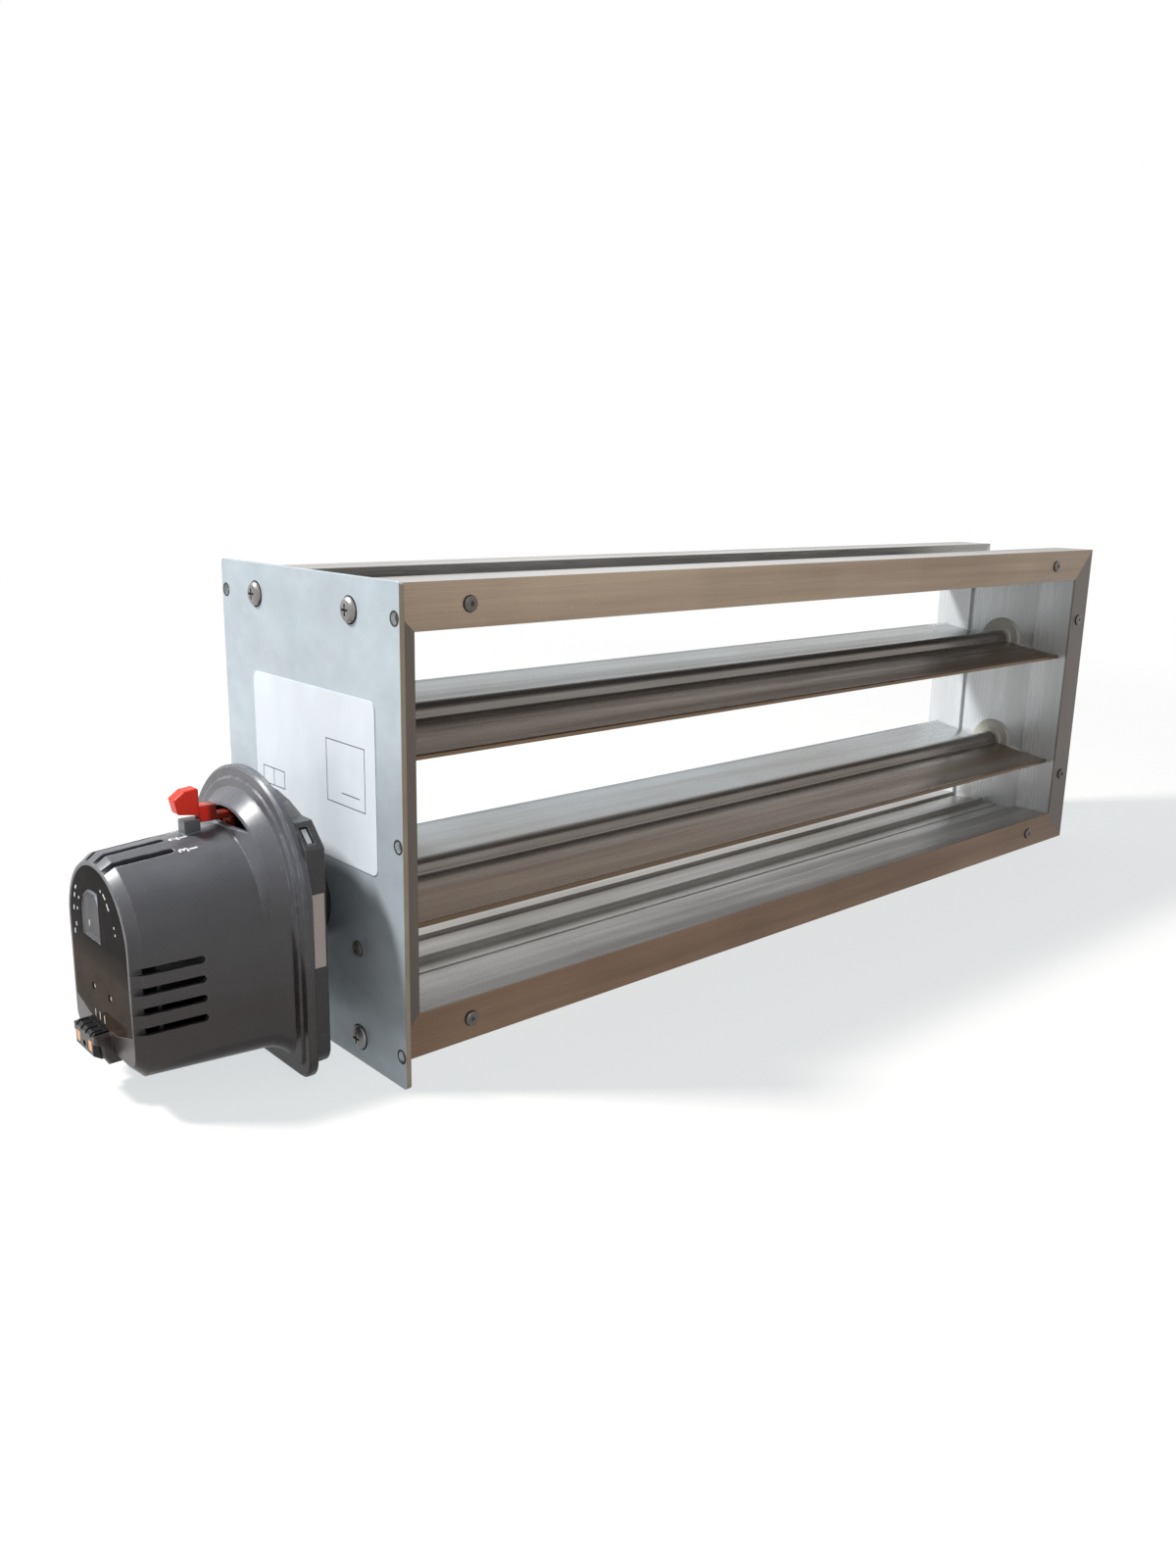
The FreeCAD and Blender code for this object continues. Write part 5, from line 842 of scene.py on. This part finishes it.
def looseBoxes(node):
    # lowest and highest corner of each loose part of a node, in metres
    bm = bmesh.new()
    bm.from_mesh(node.data)
    waiting, boxes = set(bm.verts), []
    while waiting:
        reached = [waiting.pop()]
        for vert in reached:
            for edge in vert.link_edges:
                other = edge.other_vert(vert)
                if other in waiting:
                    waiting.remove(other)
                    reached.append(other)
        places = [node.matrix_world @ vert.co for vert in reached]
        boxes.append(([min(place[axis] for place in places) for axis in range(3)],
                      [max(place[axis] for place in places) for axis in range(3)]))
    bm.free()
    return sorted(boxes)


def addRing(bm, centre, axis, inner, outer, gauge, steps=24):
    # a flat ring square to the axis, from the centre's plane towards the lower side by the gauge
    across, along = [Vector([1.0 if index == other else 0.0 for index in range(3)])
                     for other in range(3) if other != axis]
    down = Vector([-gauge if index == axis else 0.0 for index in range(3)])
    spokes = []
    for turn in [2 * math.pi * step / steps for step in range(steps)]:
        spokes.append(across * math.cos(turn) + along * math.sin(turn))
    loops = [[bm.verts.new(centre + down * drop + spoke * radius) for spoke in spokes]
             for radius, drop in ((inner, 0), (outer, 0), (outer, 1), (inner, 1))]
    for index, loop in enumerate(loops):
        following = loops[(index + 1) % len(loops)]
        for step in range(steps):
            after = (step + 1) % steps
            bm.faces.new((loop[step], loop[after], following[after], following[step]))


def makeHeadRings(name, nodeName, axis, width, gauge):
    surface = (plateLow.x, frontFace)[axis]

    def build(bm):
        for low, high in looseBoxes(nodes[nodeName]):
            if low[axis] > surface:
                continue
            middle = Vector([(first + last) / 2 for first, last in zip(low, high)])
            middle[axis] = surface
            radius = max(high[index] - low[index] for index in range(3) if index != axis) / 2
            addRing(bm, middle, axis, radius - ringTuck * mm, radius + width * mm, gauge * mm)
    addPiece(name, meshFrom(name, build), "grimeAndShade", "frame")


for ringName, ring in headRings.items():
    makeHeadRings(ringName, *ring)
print("rings laid round the heads")


# dark rims round the plate's six mounting holes
holeRims = {"inset": 3.6, "end": 13.3, "inner": 2.2, "outer": 3.0, "gauge": 0.05}


def makeHoleRims(rims):
    inset, end, inner, outer, gauge = [rims[key] * mm for key in ("inset", "end", "inner", "outer", "gauge")]

    def build(bm):
        for y in (plateLow.y + inset, plateHigh.y - inset):
            for z in (plateLow.z + end, (plateLow.z + plateHigh.z) / 2, plateHigh.z - end):
                addRing(bm, Vector((plateLow.x, y, z)), 0, inner, outer, gauge)
    addPiece("holeRims", meshFrom("holeRims", build), "grimeAndShade", "frame")


makeHoleRims(holeRims)
print("mounting holes rimmed")


# folded tabs that show in the hook windows of the base
latchTabs = {"inset": 3.4, "side": 40.5, "rise": 39.0, "sink": 1.5, "width": 2.2, "length": 6.6, "gauge": 0.8}


def makeLatchTabs(look):
    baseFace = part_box("actuator_base")[0].x
    shaftCentre = Vector((baseFace, shaftLine.y, shaftLine.z))

    def build(bm):
        for side in (-1, 1):
            out = Vector((0, side, 1)).normalized()
            along = Vector((0, 1, -side)).normalized() * look["length"] / 2 * mm
            centre = shaftCentre + Vector((look["inset"], side * look["side"], look["rise"])) * mm
            centre -= out * look["sink"] * mm
            reach = Vector((look["width"] / 2 * mm, 0, 0))
            addSlab(bm, [centre - reach - along, centre + reach - along, centre + reach + along,
                         centre - reach + along], out * look["gauge"] * mm)
    addPiece("latchTabs", meshFrom("latchTabs", build), "tab", "frame")


makeLatchTabs(latchTabs)
print("latch tabs placed")


# studio: a pale floor that fades into a white surround, and soft lamps
studio = {
    "floorColor": (0.36, 0.33, 0.31),
    "floorLift": 0.68,        # added for seen rays only, so that the floor meets the white surround
    "floorGlow": (0.94, 0.98, 1.0),
    "floorSize": 6.0,
    "floorDrop": 0.0002,
    "floorRoughness": 0.9,
    "floorSpecular": 0.1,
    "floorFade": (0.45, 1.3),        # distance from the middle at which the floor starts to fade and is gone
    "skyStrength": 0.24,
    "lamps": [        # name, place, size, power, aims at
        ("sunLamp", (-1.28, 0.92, 1.75), 0.3, 70, (-0.1, 0.0, 0.1)),
        ("fillLamp", (-0.6, -1.9, 1.0), 1.2, 6, (0.0, 0.0, 0.1)),
    ],
}


def seenRays(tree):
    rays = tree.nodes.new("ShaderNodeLightPath").outputs
    seen = addMath(tree, "MAXIMUM", rays["Is Camera Ray"], rays["Is Glossy Ray"])
    return addMath(tree, "MAXIMUM", seen, rays["Is Transmission Ray"])


def makeWorld(settings):
    world = bpy.data.worlds.new("surround")
    bpy.context.scene.world = world
    world.use_nodes = True
    tree = world.node_tree
    tree.nodes.clear()
    sky = tree.nodes.new("ShaderNodeBackground")
    sky.inputs["Color"].default_value = (1, 1, 1, 1)
    output = tree.nodes.new("ShaderNodeOutputWorld")
    strength = addRange(tree, seenRays(tree), 0.0, 1.0, settings["skyStrength"], 1.0)
    linkNodes(tree, (strength, sky.inputs["Strength"]), (sky.outputs[0], output.inputs["Surface"]))


def makeLamp(name, place, size, power, target):
    lamp = bpy.data.lights.new(name, "AREA")
    lamp.size = size
    lamp.energy = power
    item = bpy.data.objects.new(name, lamp)
    item.location = place
    item.rotation_euler = (Vector(target) - Vector(place)).to_track_quat("-Z", "Y").to_euler()
    bpy.context.scene.collection.objects.link(item)


def makeFloor(settings):
    mesh = bpy.data.meshes.new("floor")
    half = settings["floorSize"] / 2
    corners = [(-half, -half, 0), (half, -half, 0), (half, half, 0), (-half, half, 0)]
    mesh.from_pydata(corners, [], [(0, 1, 2, 3)])
    floor = bpy.data.objects.new("floor", mesh)
    floor.location.z = -settings["floorDrop"]
    bpy.context.scene.collection.objects.link(floor)
    material, tree, surface = startMaterial("floorPaint", {"specular": settings["floorSpecular"]})
    surface.inputs["Base Color"].default_value = (*settings["floorColor"], 1)
    surface.inputs["Roughness"].default_value = settings["floorRoughness"]
    glow = tree.nodes.new("ShaderNodeEmission")
    glow.inputs["Color"].default_value = (*settings["floorGlow"], 1)
    lift = addMath(tree, "MULTIPLY", seenRays(tree), settings["floorLift"])
    both = tree.nodes.new("ShaderNodeAddShader")
    away = tree.nodes.new("ShaderNodeVectorMath")
    away.operation = "LENGTH"
    linkNodes(tree, (objectPlace(tree), away.inputs[0]))
    fade = addRange(tree, away.outputs["Value"], *settings["floorFade"])
    clear = tree.nodes.new("ShaderNodeBsdfTransparent")
    blend = tree.nodes.new("ShaderNodeMixShader")
    linkNodes(tree, (lift, glow.inputs["Strength"]), (surface.outputs[0], both.inputs[0]),
              (glow.outputs[0], both.inputs[1]), (fade, blend.inputs[0]), (both.outputs[0], blend.inputs[1]),
              (clear.outputs[0], blend.inputs[2]),
              (blend.outputs[0], tree.nodes["Material Output"].inputs["Surface"]))
    mesh.materials.append(material)


bpy.context.scene.view_settings.view_transform = "Standard"
makeWorld(studio)
for lamp in studio["lamps"]:
    makeLamp(*lamp)
makeFloor(studio)
print("studio lit")
